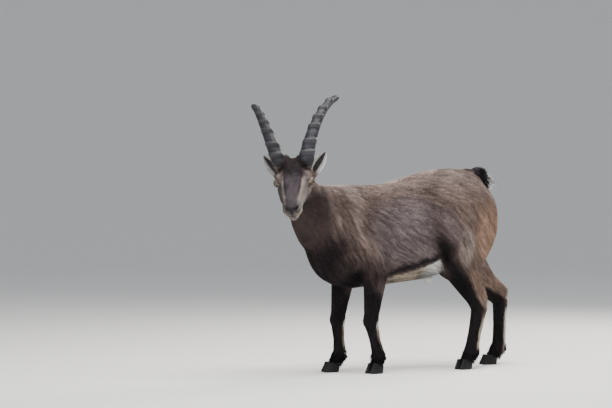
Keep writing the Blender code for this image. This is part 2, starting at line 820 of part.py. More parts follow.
def claw(name, leg, inner):
    middle, forward, outward = foot_frame(leg)
    point, _ = coronet_plane(leg)
    spread = HOOF_SPREAD * (-1 if inner else 1)
    rings = []
    for level, share, back in ((0.0, 0.97, 0.0), (0.006, 1.0, 0.001), (1.0, HOOF_TOP_SHARE, 0.012)):
        ring = []
        for k in range(HOOF_SIDES):
            around = math.tau * k / HOOF_SIDES
            ahead = HOOF_LENGTH / 2 * share * math.cos(around) - back
            wide = HOOF_WIDTH / 2 * math.sqrt(share) * power_curve(math.sin(around), 2.4)
            wide *= 1.0 - 0.28 * max(0.0, math.cos(around))
            place = middle + forward * ahead + outward * (spread + wide)
            if level == 1.0:
                place.z = point.z + (place - middle).dot(forward) * CORONET_SLOPE
            else:
                place.z = level
            ring.append(place)
        rings.append(ring)
    return rings_to_solid(name, rings, "hoof")


def dewclaw(name, leg, inner):
    joints = leg_joints(STANCE[leg])
    _, forward, outward = foot_frame(leg)
    fetlock = joints[3]
    spread = 0.016 * (-1 if inner else 1)
    root = fetlock - forward * 0.016 + outward * spread + Vector((0, 0, -0.006))
    tip = root - forward * 0.009 + outward * spread * 0.25 + Vector((0, 0, -0.020))
    stations = ((root, 0.006, 0.006), (root.lerp(tip, 0.4), DEWCLAW_RADIUS, DEWCLAW_RADIUS * 0.85),
                (root.lerp(tip, 0.8), DEWCLAW_RADIUS * 0.9, DEWCLAW_RADIUS * 0.75),
                (tip, DEWCLAW_RADIUS * 0.45, DEWCLAW_RADIUS * 0.4))
    return tube(name, stations, outward, 6, "hoof")


def finish_leg(leg):
    """Cuts a leg off at the coronet and gives it its hooves and dewclaws."""
    name = leg.name
    point, normal = coronet_plane(name)
    cut_off(leg, point - normal * GAP, normal)
    keep_largest(leg)
    short = name.replace("leg", "")
    made = []
    for inner, word in ((True, "inner"), (False, "outer")):
        made.append(claw(f"hoof_{short}_{word}", name, inner))
        spur = dewclaw(f"dewclaw_{short}_{word}", name, inner)
        boolean(leg, swollen(spur), "DIFFERENCE")
        made.append(spur)
    keep_largest(leg)
    return made


def lock(root, tip, droop, half_width, flat):
    """One flat tapered lock of hair from root to tip."""
    along = (tip - root).normalized()
    across = (flat - flat.project(along)).normalized()
    face = along.cross(across)
    rings = []
    for t, width in ((0.0, 0.55), (0.35, 1.0), (0.72, 0.62), (1.0, 0.10)):
        middle = root.lerp(tip, t) + Vector((0, 0, -droop * t * t))
        half = half_width * width
        rings.append([middle + across * half, middle + face * half * 0.42,
                      middle - across * half, middle - face * half * 0.42])
    return rings_to_solid("lock", rings)


def tail_middle(t):
    bend = math.sin(math.pi * min(1.0, t * 1.05)) * TAIL_BEND
    return TAIL_ROOT.lerp(TAIL_TIP, t) + Vector((0.35, 0, 1)) * bend


def tail_core():
    stations = [(tail_middle(t), 0.013 * share, TAIL_HALF_WIDTH * share)
                for t, share in ((-0.12, 0.80), (0.1, 0.95), (0.35, 1.0), (0.65, 0.85),
                                 (0.85, 0.55), (0.97, 0.20))]
    return tube("tail", stations, Vector((0, 1, 0)), 14)


def finish_tail(torso):
    tail = tail_core()
    boolean(torso, swollen(tail), "DIFFERENCE")
    keep_largest(torso)
    tree = BVHTree.FromPolygons([v.co for v in torso.data.vertices],
                                [tuple(p.vertices) for p in torso.data.polygons])
    locks = []
    for i in range(TAIL_LOCKS):
        t = 0.30 + 0.68 * ((i * 0.618) % 1.0)
        around = math.tau * i / TAIL_LOCKS * 5.0
        middle = tail_middle(t)
        along = (tail_middle(t + 0.02) - tail_middle(t - 0.02)).normalized()
        up = Vector((0, 1, 0)).cross(along).normalized() * -1
        out = Vector((0, 1, 0)) * math.cos(around) + up * math.sin(around)
        share = 0.55 + 0.45 * (1.0 - t)
        root = middle + out * 0.006
        length = TAIL_LOCK_LENGTH * random.uniform(0.8, 1.15)
        tip = root + (along * 1.0 + out * 0.38).normalized() * length + out * 0.006 * share
        flat = along.cross(out)
        made = lock(root, tip, 0.004, random.uniform(0.0080, 0.0110), flat)
        points = [v.co for v in made.data.vertices]
        near = min(tree.find_nearest(p)[3] for p in points)
        if near < 0.004:
            bpy.data.objects.remove(made)
            continue
        locks.append(made)
    fuse(tail, locks)
    keep_largest(tail)
    return tail


def add_sheath_locks(torso):
    locks = []
    for i in range(SHEATH_LOCKS):
        around = math.tau * i / SHEATH_LOCKS
        out = Vector((math.cos(around), math.sin(around), 0))
        root = SHEATH + out * 0.008 + Vector((0, 0, 0.006))
        tip = SHEATH + out * random.uniform(0.008, 0.016)
        tip += Vector((-0.010, 0, -SHEATH_LOCK_LENGTH * random.uniform(0.8, 1.1)))
        locks.append(lock(root, tip, 0.0, 0.0075, out.cross(Vector((0, 0, 1)))))
    fuse(torso, locks)
    keep_largest(torso)


def settle(parts):
    """Moves the animal so that the middle of its box is over the origin."""
    points = [v.co for part in parts for v in part.data.vertices]
    low = [min(p[k] for p in points) for k in range(3)]
    high = [max(p[k] for p in points) for k in range(3)]
    move = Vector((-(low[0] + high[0]) / 2, -(low[1] + high[1]) / 2, -low[2]))
    for part in parts:
        part.data.transform(Matrix.Translation(move))
    print("moved by", [round(v, 4) for v in move])


def main():
    clear_scene()
    random.seed(SEED)
    torso = body_mass()
    torso.name = "torso"
    head = split_by_plane(torso, "head", HEAD @ HEAD_CUT, (HEAD.to_3x3() @ HEAD_CUT_NORMAL).normalized())
    neck = split_by_plane(torso, "neck", NECK_CUT, NECK_CUT_NORMAL)
    parts = [torso, neck, head] + finish_head(head)
    for name in STANCE:
        leg = split_by_block(torso, name, lambda by: leg_region(name, by))
        parts.append(leg)
        parts += finish_leg(leg)
    parts.append(finish_tail(torso))
    add_sheath_locks(torso)
    for part in parts:
        to_triangles(part)
    settle(parts)
    for part in parts:
        print(part.name, len(part.data.polygons))
    print("triangles", sum(len(part.data.polygons) for part in parts))


main()
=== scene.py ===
import math

import bpy
import numpy as np
from mathutils import Matrix, Vector
from mathutils.bvhtree import BVHTree


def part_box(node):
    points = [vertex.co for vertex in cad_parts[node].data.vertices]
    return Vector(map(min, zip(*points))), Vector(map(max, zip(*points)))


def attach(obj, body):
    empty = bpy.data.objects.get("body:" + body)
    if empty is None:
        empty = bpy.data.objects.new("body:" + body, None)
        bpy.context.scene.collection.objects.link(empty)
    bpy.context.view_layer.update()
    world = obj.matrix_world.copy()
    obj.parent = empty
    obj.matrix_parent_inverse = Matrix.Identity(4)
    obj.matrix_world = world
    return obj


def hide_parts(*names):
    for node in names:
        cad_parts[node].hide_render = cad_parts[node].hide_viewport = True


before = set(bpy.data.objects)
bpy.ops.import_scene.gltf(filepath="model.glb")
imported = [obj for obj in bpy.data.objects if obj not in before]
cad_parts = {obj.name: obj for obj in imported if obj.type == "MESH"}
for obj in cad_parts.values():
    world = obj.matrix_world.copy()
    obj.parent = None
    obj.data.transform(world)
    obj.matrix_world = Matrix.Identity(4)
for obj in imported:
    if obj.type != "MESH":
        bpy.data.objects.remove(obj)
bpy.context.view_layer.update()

# A young male Alpine ibex, life size. All places are in metres. "Design place" below means
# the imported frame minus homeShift: x back from the breast, y to the animal's right, z up.

print("stage: places taken from the CAD")

headPose = {
    "eyeLine": (-0.139, -0.128, 0.820),
    "scale": 1.15,
    "turnDegrees": 55,
    "nodDegrees": 28,
    "tiltDegrees": 4.5,
}


def headMatrix():
    forward, left, up = Vector((-1, 0, 0)), Vector((0, -1, 0)), Vector((0, 0, 1))
    turn = Matrix.Rotation(math.radians(headPose["turnDegrees"]), 3, up)
    forward, left = turn @ forward, turn @ left
    nod = Matrix.Rotation(math.radians(headPose["nodDegrees"]), 3, left)
    forward, up = nod @ forward, nod @ up
    tilt = Matrix.Rotation(math.radians(headPose["tiltDegrees"]), 3, forward)
    left, up = tilt @ left, tilt @ up
    axes = Matrix((forward, left, up)).transposed() * headPose["scale"]
    return Matrix.Translation(headPose["eyeLine"]) @ axes.to_4x4()


eye = {
    "centre": (0.003, 0.0582, 0.004),
    "axis": (0.56, 0.82, 0.08),
    "radius": 0.0150,
    "slitLength": 0.0072,
    "slitHeight": 0.0032,
    "irisRadius": 0.0098,
    "corneaBulge": 0.0011,
    "corneaRadius": 0.0085,
}
lids = {
    # the opening is given as shares of the eye's radius
    "halfLength": 0.71,
    "upper": 0.43,
    "lower": 0.42,
    "thickness": 0.0017,
    "sunk": 0.0022,
    "reach": 0.026,
    # height, place and width of each fold, places as multiples of the opening
    "folds": ((0.0012, 1.22, 0.10), (-0.0012, 1.50, 0.10), (0.0010, 1.75, 0.14)),
    "edge": 2.3,
    "bare": 1.42,
}
horn = {
    "root": (-0.060, 0.047, 0.052),
    "length": {"left": 0.326, "right": 0.310},
    "spread": {"left": 0.118, "right": 0.106},
    "flare": {"left": 1.30, "right": 1.00},
    # painted shade: the right horn's colour is darker all over
    "light": {"left": 1.0, "right": 0.62},
    "sunk": 0.06,
    "plugRadius": 0.0335,
    "footRadius": 0.0285,
    "footShape": (1.08, 0.98, 1.0),
    "startDegrees": 118,
    "turnDegrees": 80,
    "halfDepth": 0.0330,
    "halfWidth": 0.0290,
    "knobs": (0.10, 0.22, 0.39, 0.51, 0.64, 0.80),
    "knobHeight": 0.0065,
    "knobLength": 0.018,
    "groove": 0.0010,
    "ripple": 0.0004,
    "rippleLength": 0.0009,
    "rings": 280,
    "sides": 48,
}


def mirrored(point, side):
    return Vector((point[0], point[1] * side, point[2]))


def boxCentre(node):
    low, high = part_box(node)
    return (Vector(low) + Vector(high)) / 2


headDesign = headMatrix()
homeShift = boxCentre("eye_left") - headDesign @ Vector(eye["centre"])
headFrame = Matrix.Translation(homeShift) @ headDesign
headFrameBack = headFrame.inverted()
sides = {"left": 1, "right": -1}


def transformed(matrix, points):
    turn = np.array(matrix.to_3x3())
    return points @ turn.T + np.array(matrix.translation)


def inHead(points):
    return transformed(headFrameBack, points)


def inDesign(points):
    return points - np.array(homeShift)


def activate(piece):
    bpy.ops.object.select_all(action="DESELECT")
    piece.select_set(True)
    bpy.context.view_layer.objects.active = piece


def applyModifier(piece, kind, **settings):
    activate(piece)
    modifier = piece.modifiers.new(kind.title(), kind)
    for key, value in settings.items():
        setattr(modifier, key, value)
    bpy.ops.object.modifier_apply(modifier=modifier.name)


def readValues(items, key, width, kind=np.float32):
    values = np.empty(len(items) * width, kind)
    items.foreach_get(key, values)
    return values.reshape(-1, width)


def readPoints(mesh):
    return readValues(mesh.vertices, "co", 3).astype(float)


def readNormals(mesh):
    return readValues(mesh.vertices, "normal", 3).astype(float)


def readEdges(mesh):
    return readValues(mesh.edges, "vertices", 2, np.int32)


def writePoints(mesh, points):
    mesh.vertices.foreach_set("co", points.astype(np.float32).ravel())
    mesh.update()


def pointOutwards(piece):
    activate(piece)
    bpy.ops.object.mode_set(mode="EDIT")
    bpy.ops.mesh.select_all(action="SELECT")
    bpy.ops.mesh.normals_make_consistent(inside=False)
    bpy.ops.object.mode_set(mode="OBJECT")


def unit(vectors):
    return vectors / np.maximum(np.linalg.norm(vectors, axis=-1, keepdims=True), 1e-12)


def ramp(value, start, end):
    share = np.clip((value - start) / (end - start), 0, 1)
    return share * share * (3 - 2 * share)


def hump(value, middle, width):
    return np.exp(-(((value - middle) / width) ** 2))


def distance(places, middle, reach=1.0):
    return np.linalg.norm((places - np.array(middle)) / np.array(reach), axis=1)


def folded(places):
    # the right half laid over the left
    laid = places.copy()
    laid[:, 1] = np.abs(laid[:, 1])
    return laid


def blend(base, other, share):
    return base + (other - base) * share


noiseTable = np.random.default_rng(5).random((32, 32, 32))


def softNoise(points, size, seed=0):
    grid = points / size + seed * 7.31
    cell = np.floor(grid).astype(int)
    share = grid - cell
    share = share * share * (3 - 2 * share)
    total = np.zeros(len(points))
    for corner in range(8):
        step = np.array([corner & 1, corner >> 1 & 1, corner >> 2 & 1])
        weight = np.prod(np.where(step, share, 1 - share), axis=1)
        x, y, z = ((cell + step) % len(noiseTable)).T
        total += weight * noiseTable[x, y, z]
    return total


# Camera, at the photograph's angle

cameraSettings = {
    "aimHeight": 0.728,
    "yawDegrees": 32,
    "dropDegrees": 1,
    "distance": 12.0,
    "metresPerPixel": 0.00425,
    "sensor": 36.0,
    "framePixels": 612,
}


def addCamera():
    yaw = math.radians(cameraSettings["yawDegrees"])
    drop = math.radians(cameraSettings["dropDegrees"])
    back = Vector((-math.sin(yaw) * math.cos(drop), -math.cos(yaw) * math.cos(drop), math.sin(drop)))
    aim = homeShift + Vector((0, 0, cameraSettings["aimHeight"]))
    data = bpy.data.cameras.new("photoCamera")
    data.sensor_width = cameraSettings["sensor"]
    across = cameraSettings["framePixels"] * cameraSettings["metresPerPixel"]
    data.lens = cameraSettings["sensor"] * cameraSettings["distance"] / across
    data.clip_end = 60
    camera = bpy.data.objects.new("photoCamera", data)
    bpy.context.collection.objects.link(camera)
    camera.location = aim + back * cameraSettings["distance"]
    camera.rotation_euler = (-back).to_track_quat("-Z", "Y").to_euler()
    bpy.context.scene.camera = camera


addCamera()

# Floor and light

studio = {
    "floorColour": (0.84, 0.83, 0.81, 1),
    "floorRoughness": 0.9,
    "skyColour": (0.90, 0.94, 1.0, 1),
    "skyStrength": 0.50,
    "floorRadius": 12,
    "curveSteps": 12,
    "curveLength": 1.2,
    "slopeDegrees": 38,
    "lampAim": (0, 0, 0.6),
    # name, place, size, power, colour
    "lamps": (
        ("topSoft", (0.0, -0.9, 4.0), 2.6, 270, (1.0, 0.98, 0.95)),
        ("frontSoft", (-4.2, -3.2, 2.4), 2.4, 150, (1.0, 0.98, 0.97)),
        ("rimSoft", (3.4, 1.6, 2.8), 1.4, 150, (1.0, 0.95, 0.86)),
    ),
}


def addBackdrop():
    bpy.ops.object.select_all(action="DESELECT")
    bpy.ops.mesh.primitive_circle_add(vertices=96, radius=studio["floorRadius"], fill_type="NGON")
    floor = bpy.context.active_object
    floor.name = "studioFloor"
    bpy.ops.object.mode_set(mode="EDIT")
    bpy.ops.mesh.select_mode(type="EDGE")
    bpy.ops.mesh.select_all(action="SELECT")
    bpy.ops.mesh.region_to_loop()
    radius = studio["floorRadius"]
    for k in range(1, studio["curveSteps"] + 1):
        slope = math.radians(studio["slopeDegrees"]) * min(1.0, k / studio["curveSteps"] * 1.5)
        wider = radius + studio["curveLength"] * math.cos(slope)
        rise = studio["curveLength"] * math.sin(slope)
        bpy.ops.mesh.extrude_region_move(TRANSFORM_OT_translate={"value": (0, 0, rise)})
        bpy.ops.transform.resize(value=(wider / radius, wider / radius, 1))
        radius = wider
    bpy.ops.mesh.select_all(action="SELECT")
    bpy.ops.mesh.normals_make_consistent(inside=False)
    bpy.ops.mesh.faces_shade_smooth()
    bpy.ops.object.mode_set(mode="OBJECT")
    floorFinish = bpy.data.materials.new("paleFloor")
    floorFinish.use_nodes = True
    shader = floorFinish.node_tree.nodes["Principled BSDF"]
    shader.inputs["Base Color"].default_value = studio["floorColour"]
    shader.inputs["Roughness"].default_value = studio["floorRoughness"]
    floor.data.materials.append(floorFinish)


def addStudio():
    addBackdrop()
    for name, place, size, power, colour in studio["lamps"]:
        data = bpy.data.lights.new(name, "AREA")
        data.size, data.energy, data.color = size, power, colour
        lamp = bpy.data.objects.new(name, data)
        bpy.context.collection.objects.link(lamp)
        lamp.location = place
        aim = Vector(studio["lampAim"]) - Vector(place)
        lamp.rotation_euler = aim.to_track_quat("-Z", "Y").to_euler()
    world = bpy.data.worlds.new("studioSky")
    bpy.context.scene.world = world
    world.use_nodes = True
    sky = world.node_tree.nodes["Background"]
    sky.inputs["Color"].default_value = studio["skyColour"]
    sky.inputs["Strength"].default_value = studio["skyStrength"]


addStudio()

# Skin: one closed surface under the coat, from the flesh of the CAD

print("stage: skin")

skinShape = {
    "flesh": ("torso", "neck", "head", "ear_left", "ear_right", "foreleg_left", "foreleg_right",
              "hindleg_left", "hindleg_right"),
    "overlap": 0.0016,
    "voxel": 0.0027,
    "bodyRounds": 12,
    "headRounds": 9,
    "muzzleRounds": 18,
    "napeRounds": 30,
    "trunkRounds": 40,
    "depthRounds": 6,
    "triangles": 110000,
}
tailShape = {
    "root": (0.838, 0.0, 0.874),
    "tip": (0.944, 0.0, 0.816),
    "bend": 0.006,
    "dockHalfWidth": 0.015,
    "dockHalfDepth": 0.010,
    # share of the tail, share of the dock's width
    "dock": ((-0.12, 0.8), (0.1, 0.95), (0.35, 1.0), (0.65, 0.8), (0.85, 0.5), (0.97, 0.15)),
    "steps": 20,
    "hairFrom": 0.12,
    "hairReach": 0.026,
}
sheath = {"place": (0.628, 0.0, 0.392), "reach": 0.05, "below": 0.386, "floor": 0.380}
headMiddle = (0.03, 0, -0.02)
earShape = {
    "root": (-0.085, 0.065, -0.016),
    "axis": (-0.654, 0.47, 0.592),
    "opening": (0.75, 0.45, 0.40),
    "length": 0.110,
}


def tailMiddle(share):
    bend = math.sin(math.pi * min(1.0, share * 1.05)) * tailShape["bend"]
    root, tip = Vector(tailShape["root"]), Vector(tailShape["tip"])
    return homeShift + root.lerp(tip, share) + Vector((0.35, 0, 1)) * bend


def fleshCopy(node, swelling=skinShape["overlap"]):
    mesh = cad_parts[node].data.copy()
    piece = bpy.data.objects.new(node + "Copy", mesh)
    bpy.context.collection.objects.link(piece)
    applyModifier(piece, "WELD", merge_threshold=0.00002)
    writePoints(piece.data, readPoints(piece.data) + readNormals(piece.data) * swelling)
    return piece


def tubeOver(steps, turnSteps, name):
    bpy.ops.object.select_all(action="DESELECT")
    bpy.ops.mesh.primitive_cylinder_add(vertices=turnSteps, radius=1, depth=1, location=(0, 0, 0))
    piece = bpy.context.active_object
    piece.name = name
    bpy.ops.object.mode_set(mode="EDIT")
    bpy.ops.mesh.select_mode(type="EDGE")
    bpy.ops.mesh.select_all(action="DESELECT")
    bpy.ops.object.mode_set(mode="OBJECT")
    points = readPoints(piece.data)
    for edge in piece.data.edges:
        low, high = (points[k][2] for k in edge.vertices)
        edge.select = bool(abs(low - high) > 0.5)
    bpy.ops.object.mode_set(mode="EDIT")
    bpy.ops.mesh.subdivide(number_cuts=steps - 2)
    bpy.ops.object.mode_set(mode="OBJECT")
    points = readPoints(piece.data)
    level = np.rint((points[:, 2] + 0.5) * (steps - 1)).astype(int)
    around = np.arctan2(points[:, 1], points[:, 0])
    return piece, level, around


def tailDock():
    piece, level, around = tubeOver(len(tailShape["dock"]), 14, "tailDock")
    points = readPoints(piece.data)
    for k in range(len(points)):
        share, width = tailShape["dock"][level[k]]
        along = (tailMiddle(share + 0.02) - tailMiddle(share - 0.02)).normalized()
        across = Vector((0, 1, 0))
        up = along.cross(across)
        place = tailMiddle(share)
        place += across * math.cos(around[k]) * tailShape["dockHalfWidth"] * width
        place += up * math.sin(around[k]) * tailShape["dockHalfDepth"] * width
        points[k] = place
    writePoints(piece.data, points)
    pointOutwards(piece)
    return piece


def headNear(points):
    return ramp(distance(inHead(points), headMiddle), 0.30, 0.22)


def headShareOf(points):
    local = inHead(points)
    return ramp(local[:, 0] + 0.35 * local[:, 2], -0.145, -0.095) * headNear(points)


def earPlaces(points):
    local = folded(inHead(points))
    axis = unit(np.array(earShape["axis"]))
    away = local - np.array(earShape["root"])
    along = away @ axis / earShape["length"]
    off = np.linalg.norm(away - np.outer(away @ axis, axis), axis=1)
    across = np.abs(away @ unit(np.cross(axis, np.array(earShape["opening"]))))
    return along, off, across


def earShareOf(points):
    along, off, _ = earPlaces(points)
    return ramp(along, -0.02, 0.18) * ramp(off, 0.036, 0.028) * ramp(along, 1.3, 1.15)


def trunkShareOf(points):
    # trunk and neck, without the legs and the face
    height = ramp(inDesign(points)[:, 2], 0.42, 0.53)
    return height * (1 - ramp(inHead(points)[:, 0], -0.20, -0.125) * headNear(points))


def tailLine():
    return np.array([tailMiddle(share) for share in np.linspace(0, 1, tailShape["steps"] + 1)])


def tailPlaces(points):
    away = np.linalg.norm(points[:, None] - tailLine()[None], axis=2)
    return away.argmin(axis=1) / tailShape["steps"], away.min(axis=1)


def tailShareOf(points):
    along, off = tailPlaces(points)
    return (along > tailShape["hairFrom"]) * (off < tailShape["hairReach"]) * 1.0


def joinAll(pieces, name):
    bpy.ops.object.select_all(action="DESELECT")
    for piece in pieces:
        piece.select_set(True)
    bpy.context.view_layer.objects.active = pieces[0]
    bpy.ops.object.join()
    pieces[0].name = pieces[0].data.name = name
    return pieces[0]


def liftedSheath(points):
    # the tuft's solid under the belly is cut back, because hair takes its place
    place = inDesign(points)
    off = np.hypot(place[:, 0] - sheath["place"][0], place[:, 1])
    low = (off < sheath["reach"]) & (place[:, 2] < sheath["below"])
    points[low, 2] = np.maximum(points[low, 2], sheath["floor"])
    return points


def neighbourMean(points, edges):
    count = len(points)
    ends = np.concatenate([edges[:, 0], edges[:, 1]])
    others = np.concatenate([edges[:, 1], edges[:, 0]])
    valence = np.maximum(np.bincount(ends, minlength=count), 1)[:, None]
    total = [np.bincount(ends, weights=points[others, axis], minlength=count) for axis in range(3)]
    return np.stack(total, axis=1) / valence


def relaxed(points, edges, share, rounds):
    for _ in range(rounds):
        points = points + (neighbourMean(points, edges) - points) * 0.6 * share[:, None]
    return points


def smoothed(points, edges, share, rounds):
    for _ in range(rounds):
        for step in (0.5, -0.51):
            points = points + (neighbourMean(points, edges) - points) * step * share[:, None]
    return points


def thinned(skin, triangles):
    now = sum(len(face.vertices) - 2 for face in skin.data.polygons)
    applyModifier(skin, "DECIMATE", ratio=triangles / now, use_collapse_triangulate=True)


def refine(skin):
    centres = folded(inHead(readValues(skin.data.polygons, "center", 3).astype(float)))
    muzzle = distance(centres, (0.172, 0, -0.028)) < 0.048
    lips = (centres[:, 0] > 0.085) & (np.abs(centres[:, 2] + 0.039) < 0.012)
    lidArea = distance(centres, eye["centre"]) < lids["reach"]
    chosen = muzzle | lips | lidArea
    skin.data.polygons.foreach_set("select", chosen)
    activate(skin)
    bpy.ops.object.mode_set(mode="EDIT")
    bpy.ops.mesh.select_mode(type="FACE")
    bpy.ops.mesh.subdivide(number_cuts=2, smoothness=0.0)
    bpy.ops.mesh.select_all(action="SELECT")
    bpy.ops.mesh.quads_convert_to_tris()
    bpy.ops.mesh.select_all(action="DESELECT")
    bpy.ops.object.mode_set(mode="OBJECT")


# Muscles and hollows of the body: place beside the middle line, reach, height
bodyForms = (
    ((0.318, 0.120, 0.470), (0.013, 0.06, 0.080), -0.0070),  # crease behind the elbow
    ((0.250, 0.125, 0.530), (0.045, 0.06, 0.060), 0.0030),   # upper arm
    ((0.155, 0.115, 0.590), (0.014, 0.06, 0.090), -0.0045),  # front edge of the shoulder
    ((0.215, 0.100, 0.700), (0.030, 0.06, 0.070), 0.0030),   # shoulder blade
    ((0.290, 0.110, 0.690), (0.025, 0.06, 0.080), -0.0040),  # behind the shoulder blade
    ((0.600, 0.130, 0.600), (0.030, 0.08, 0.100), -0.0065),  # flank, before the thigh
    ((0.560, 0.110, 0.760), (0.060, 0.06, 0.035), -0.0040),  # hollow under the loin
    ((0.680, 0.110, 0.800), (0.035, 0.06, 0.025), 0.0030),   # hip
    ((0.700, 0.120, 0.600), (0.050, 0.08, 0.080), 0.0030),   # front of the thigh
    ((0.800, 0.115, 0.620), (0.014, 0.06, 0.100), -0.0040),  # groove down the thigh
    ((0.030, 0.080, 0.700), (0.014, 0.06, 0.080), -0.0035),  # groove of the neck
)


def shapeBody(skin):
    points = readPoints(skin.data)
    place = folded(inDesign(points))
    rise = np.zeros(len(points))
    for middle, reach, height in bodyForms:
        rise += height * hump(distance(place, middle, reach), 0, 1)
    rise *= 1 - headNear(points)
    writePoints(skin.data, points + readNormals(skin.data) * rise[:, None])


# The face: soft forms and the fine lines cut in it, in the head's own frame
# place, radius, height: a swelling, or a hollow where the height is below zero
faceForms = (
    ((0.004, 0.052, 0.026), 0.015, 0.0035),    # brow over the eye
    ((0.024, 0.050, -0.014), 0.012, -0.0018),  # tear trough
    ((0.050, 0.044, -0.022), 0.018, 0.0016),   # cheek bone
    ((-0.030, 0.058, -0.062), 0.034, 0.0030),  # cheek muscle
    ((0.090, 0.030, -0.050), 0.020, -0.0020),  # hollow behind the lips
    ((0.020, 0.000, 0.050), 0.022, -0.0022),   # dip between the eyes
    ((0.150, 0.026, -0.022), 0.016, 0.0014),   # side of the muzzle
    ((0.160, 0.000, -0.062), 0.012, 0.0016),   # chin
)
nostril = {
    "centre": (0.181, 0.0165, -0.004),
    "along": (-0.55, 0.62, 0.45),
    "length": 0.0085,
    "width": 0.0036,
    "depth": 0.0070,
    "rim": 0.0014,
    "rimLength": 0.011,
    "rimAt": 0.0066,
    "rimWidth": 0.0026,
    "bareLength": 0.0125,
}
mouth = {
    "front": (0.187, -0.036),
    "corner": (0.098, -0.040),
    "rise": 0.0025,
    "depth": 0.0030,
    "width": 0.0018,
    "lip": 0.0014,
    "lipAt": 0.0055,
    "lipWidth": 0.0032,
}
rhinarium = {"top": 0.000, "bottom": -0.029, "halfWidth": 0.0025, "wider": 0.011, "grooveDepth": 0.0014}


def nostrilPlace(local):
    sideless = folded(local)
    axis = unit(np.array(nostril["along"]))
    nearest = sideless[distance(sideless, nostril["centre"]).argmin()]
    away = sideless - nearest
    along = away @ axis
    off = np.linalg.norm(away - np.outer(along, axis), axis=1)
    return along, off


def nostrilReach(local):
    along, off = nostrilPlace(local)
    return np.hypot(along / nostril["bareLength"], off / nostril["rimAt"])


def mouthHeight(local):
    (frontX, frontZ), (cornerX, cornerZ) = mouth["front"], mouth["corner"]
    share = np.clip((frontX - local[:, 0]) / (frontX - cornerX), -0.2, 1.2)
    return frontZ + (cornerZ - frontZ) * share + mouth["rise"] * np.sin(np.pi * np.clip(share, 0, 1))


def padHalfWidth(z):
    return rhinarium["halfWidth"] + rhinarium["wider"] * ramp(z, rhinarium["bottom"], rhinarium["top"])


def sculptFace(skin):
    points = readPoints(skin.data)
    local = inHead(points)
    x, y, z = local.T
    rise = np.zeros(len(points))
    for place, radius, height in faceForms:
        rise += height * hump(distance(folded(local), place), 0, radius)
    along, off = nostrilPlace(local)
    slit = hump(along, 0, nostril["length"]) * hump(off, 0, nostril["width"])
    rim = hump(along, 0, nostril["rimLength"]) * hump(off, nostril["rimAt"], nostril["rimWidth"])
    rise += nostril["rim"] * rim - nostril["depth"] * slit
    lips = ramp(x, 0.090, 0.104)
    gap = z - mouthHeight(local)
    rise -= mouth["depth"] * lips * hump(gap, 0, mouth["width"])
    rise += mouth["lip"] * lips * hump(np.abs(gap), mouth["lipAt"], mouth["lipWidth"])
    between = ramp(z, -0.037, -0.033) * ramp(z, -0.004, -0.010)
    rise -= rhinarium["grooveDepth"] * ramp(x, 0.168, 0.180) * hump(y, 0, 0.0014) * between
    share = headNear(points) * ramp(x, -0.12, -0.09)
    writePoints(skin.data, points + readNormals(skin.data) * (rise * share * headPose["scale"])[:, None])


# How deep the coat is, and how long its hair, by place: the skin lies this far inside
coat = {
    # depth, length and width of a tuft, and the room that each takes
    "body": (0.0062, 0.023, 0.0027, 0.0041),
    "neck": (0.0072, 0.028, 0.0026, 0.0039),
    "upperLeg": (0.0045, 0.018, 0.0024, 0.0035),
    "lowerLeg": (0.0024, 0.012, 0.0019, 0.0028),
    "poll": (0.0065, 0.024, 0.0020, 0.0026),
    "cheek": (0.0030, 0.0110, 0.0014, 0.0021),
    "face": (0.0016, 0.0065, 0.0012, 0.0016),
    "muzzle": (0.0007, 0.0036, 0.0009, 0.0014),
    "ear": (0.0006, 0.0085, 0.0012, 0.0018),
    "tail": (0.0070, 0.054, 0.0034, 0.0010),
}


def coatSizes(points):
    place, local = inDesign(points), inHead(points)
    head = headShareOf(points)
    cheek = np.maximum(ramp(local[:, 2], 0.030, 0.005), ramp(local[:, 0], 0.01, 0.04))
    sizes = np.tile(np.array(coat["body"]), (len(points), 1))
    for kind, share in (
        ("neck", ramp(place[:, 0], 0.20, 0.08)),
        ("upperLeg", ramp(place[:, 2], 0.50, 0.38) * ramp(np.abs(place[:, 1]), 0.02, 0.05)),
        ("lowerLeg", ramp(place[:, 2], 0.30, 0.22)),
        ("poll", head),
        ("cheek", head * cheek),
        ("face", head * ramp(local[:, 0], 0.015, 0.075)),
        ("muzzle", head * ramp(local[:, 0], 0.13, 0.168)),
        ("face", head * ramp(distance(folded(local), eye["centre"]), 0.034, 0.024)),
        ("ear", earShareOf(points)),
        ("tail", tailShareOf(points)),
    ):
        sizes = blend(sizes, np.array(coat[kind]), share[:, None])
    return sizes


def sinkUnderCoat(skin):
    points = readPoints(skin.data)
    edges = readEdges(skin.data)
    depth = coatSizes(points)[:, 0] * (1 - tailShareOf(points)) + skinShape["overlap"]
    for _ in range(skinShape["depthRounds"]):
        depth = neighbourMean(np.repeat(depth[:, None], 3, axis=1), edges)[:, 0]
    writePoints(skin.data, points - readNormals(skin.data) * depth[:, None])


def plug(name, place, radius):
    bpy.ops.object.select_all(action="DESELECT")
    bpy.ops.mesh.primitive_uv_sphere_add(segments=24, ring_count=16, radius=radius)
    piece = bpy.context.active_object
    piece.name = name
    writePoints(piece.data, readPoints(piece.data) + np.array(place))
    return piece


def headPlugs():
    scale = headPose["scale"]
    made = []
    for word, side in sides.items():
        centre = headFrame @ mirrored(eye["centre"], side)
        made.append(plug("eyePlug_" + word, centre, eye["radius"] * scale))
        root = headFrame @ mirrored(horn["root"], side)
        made.append(plug("hornPlug_" + word, root, horn["plugRadius"] * scale))
    return made


def eyeAxes():
    axis = unit(np.array(eye["axis"]))
    level = np.array((1.0, 0.0, -0.30))
    level = unit(level - axis * (level @ axis))
    upright = np.cross(axis, level)
    return axis, level, upright * np.sign(upright[2])


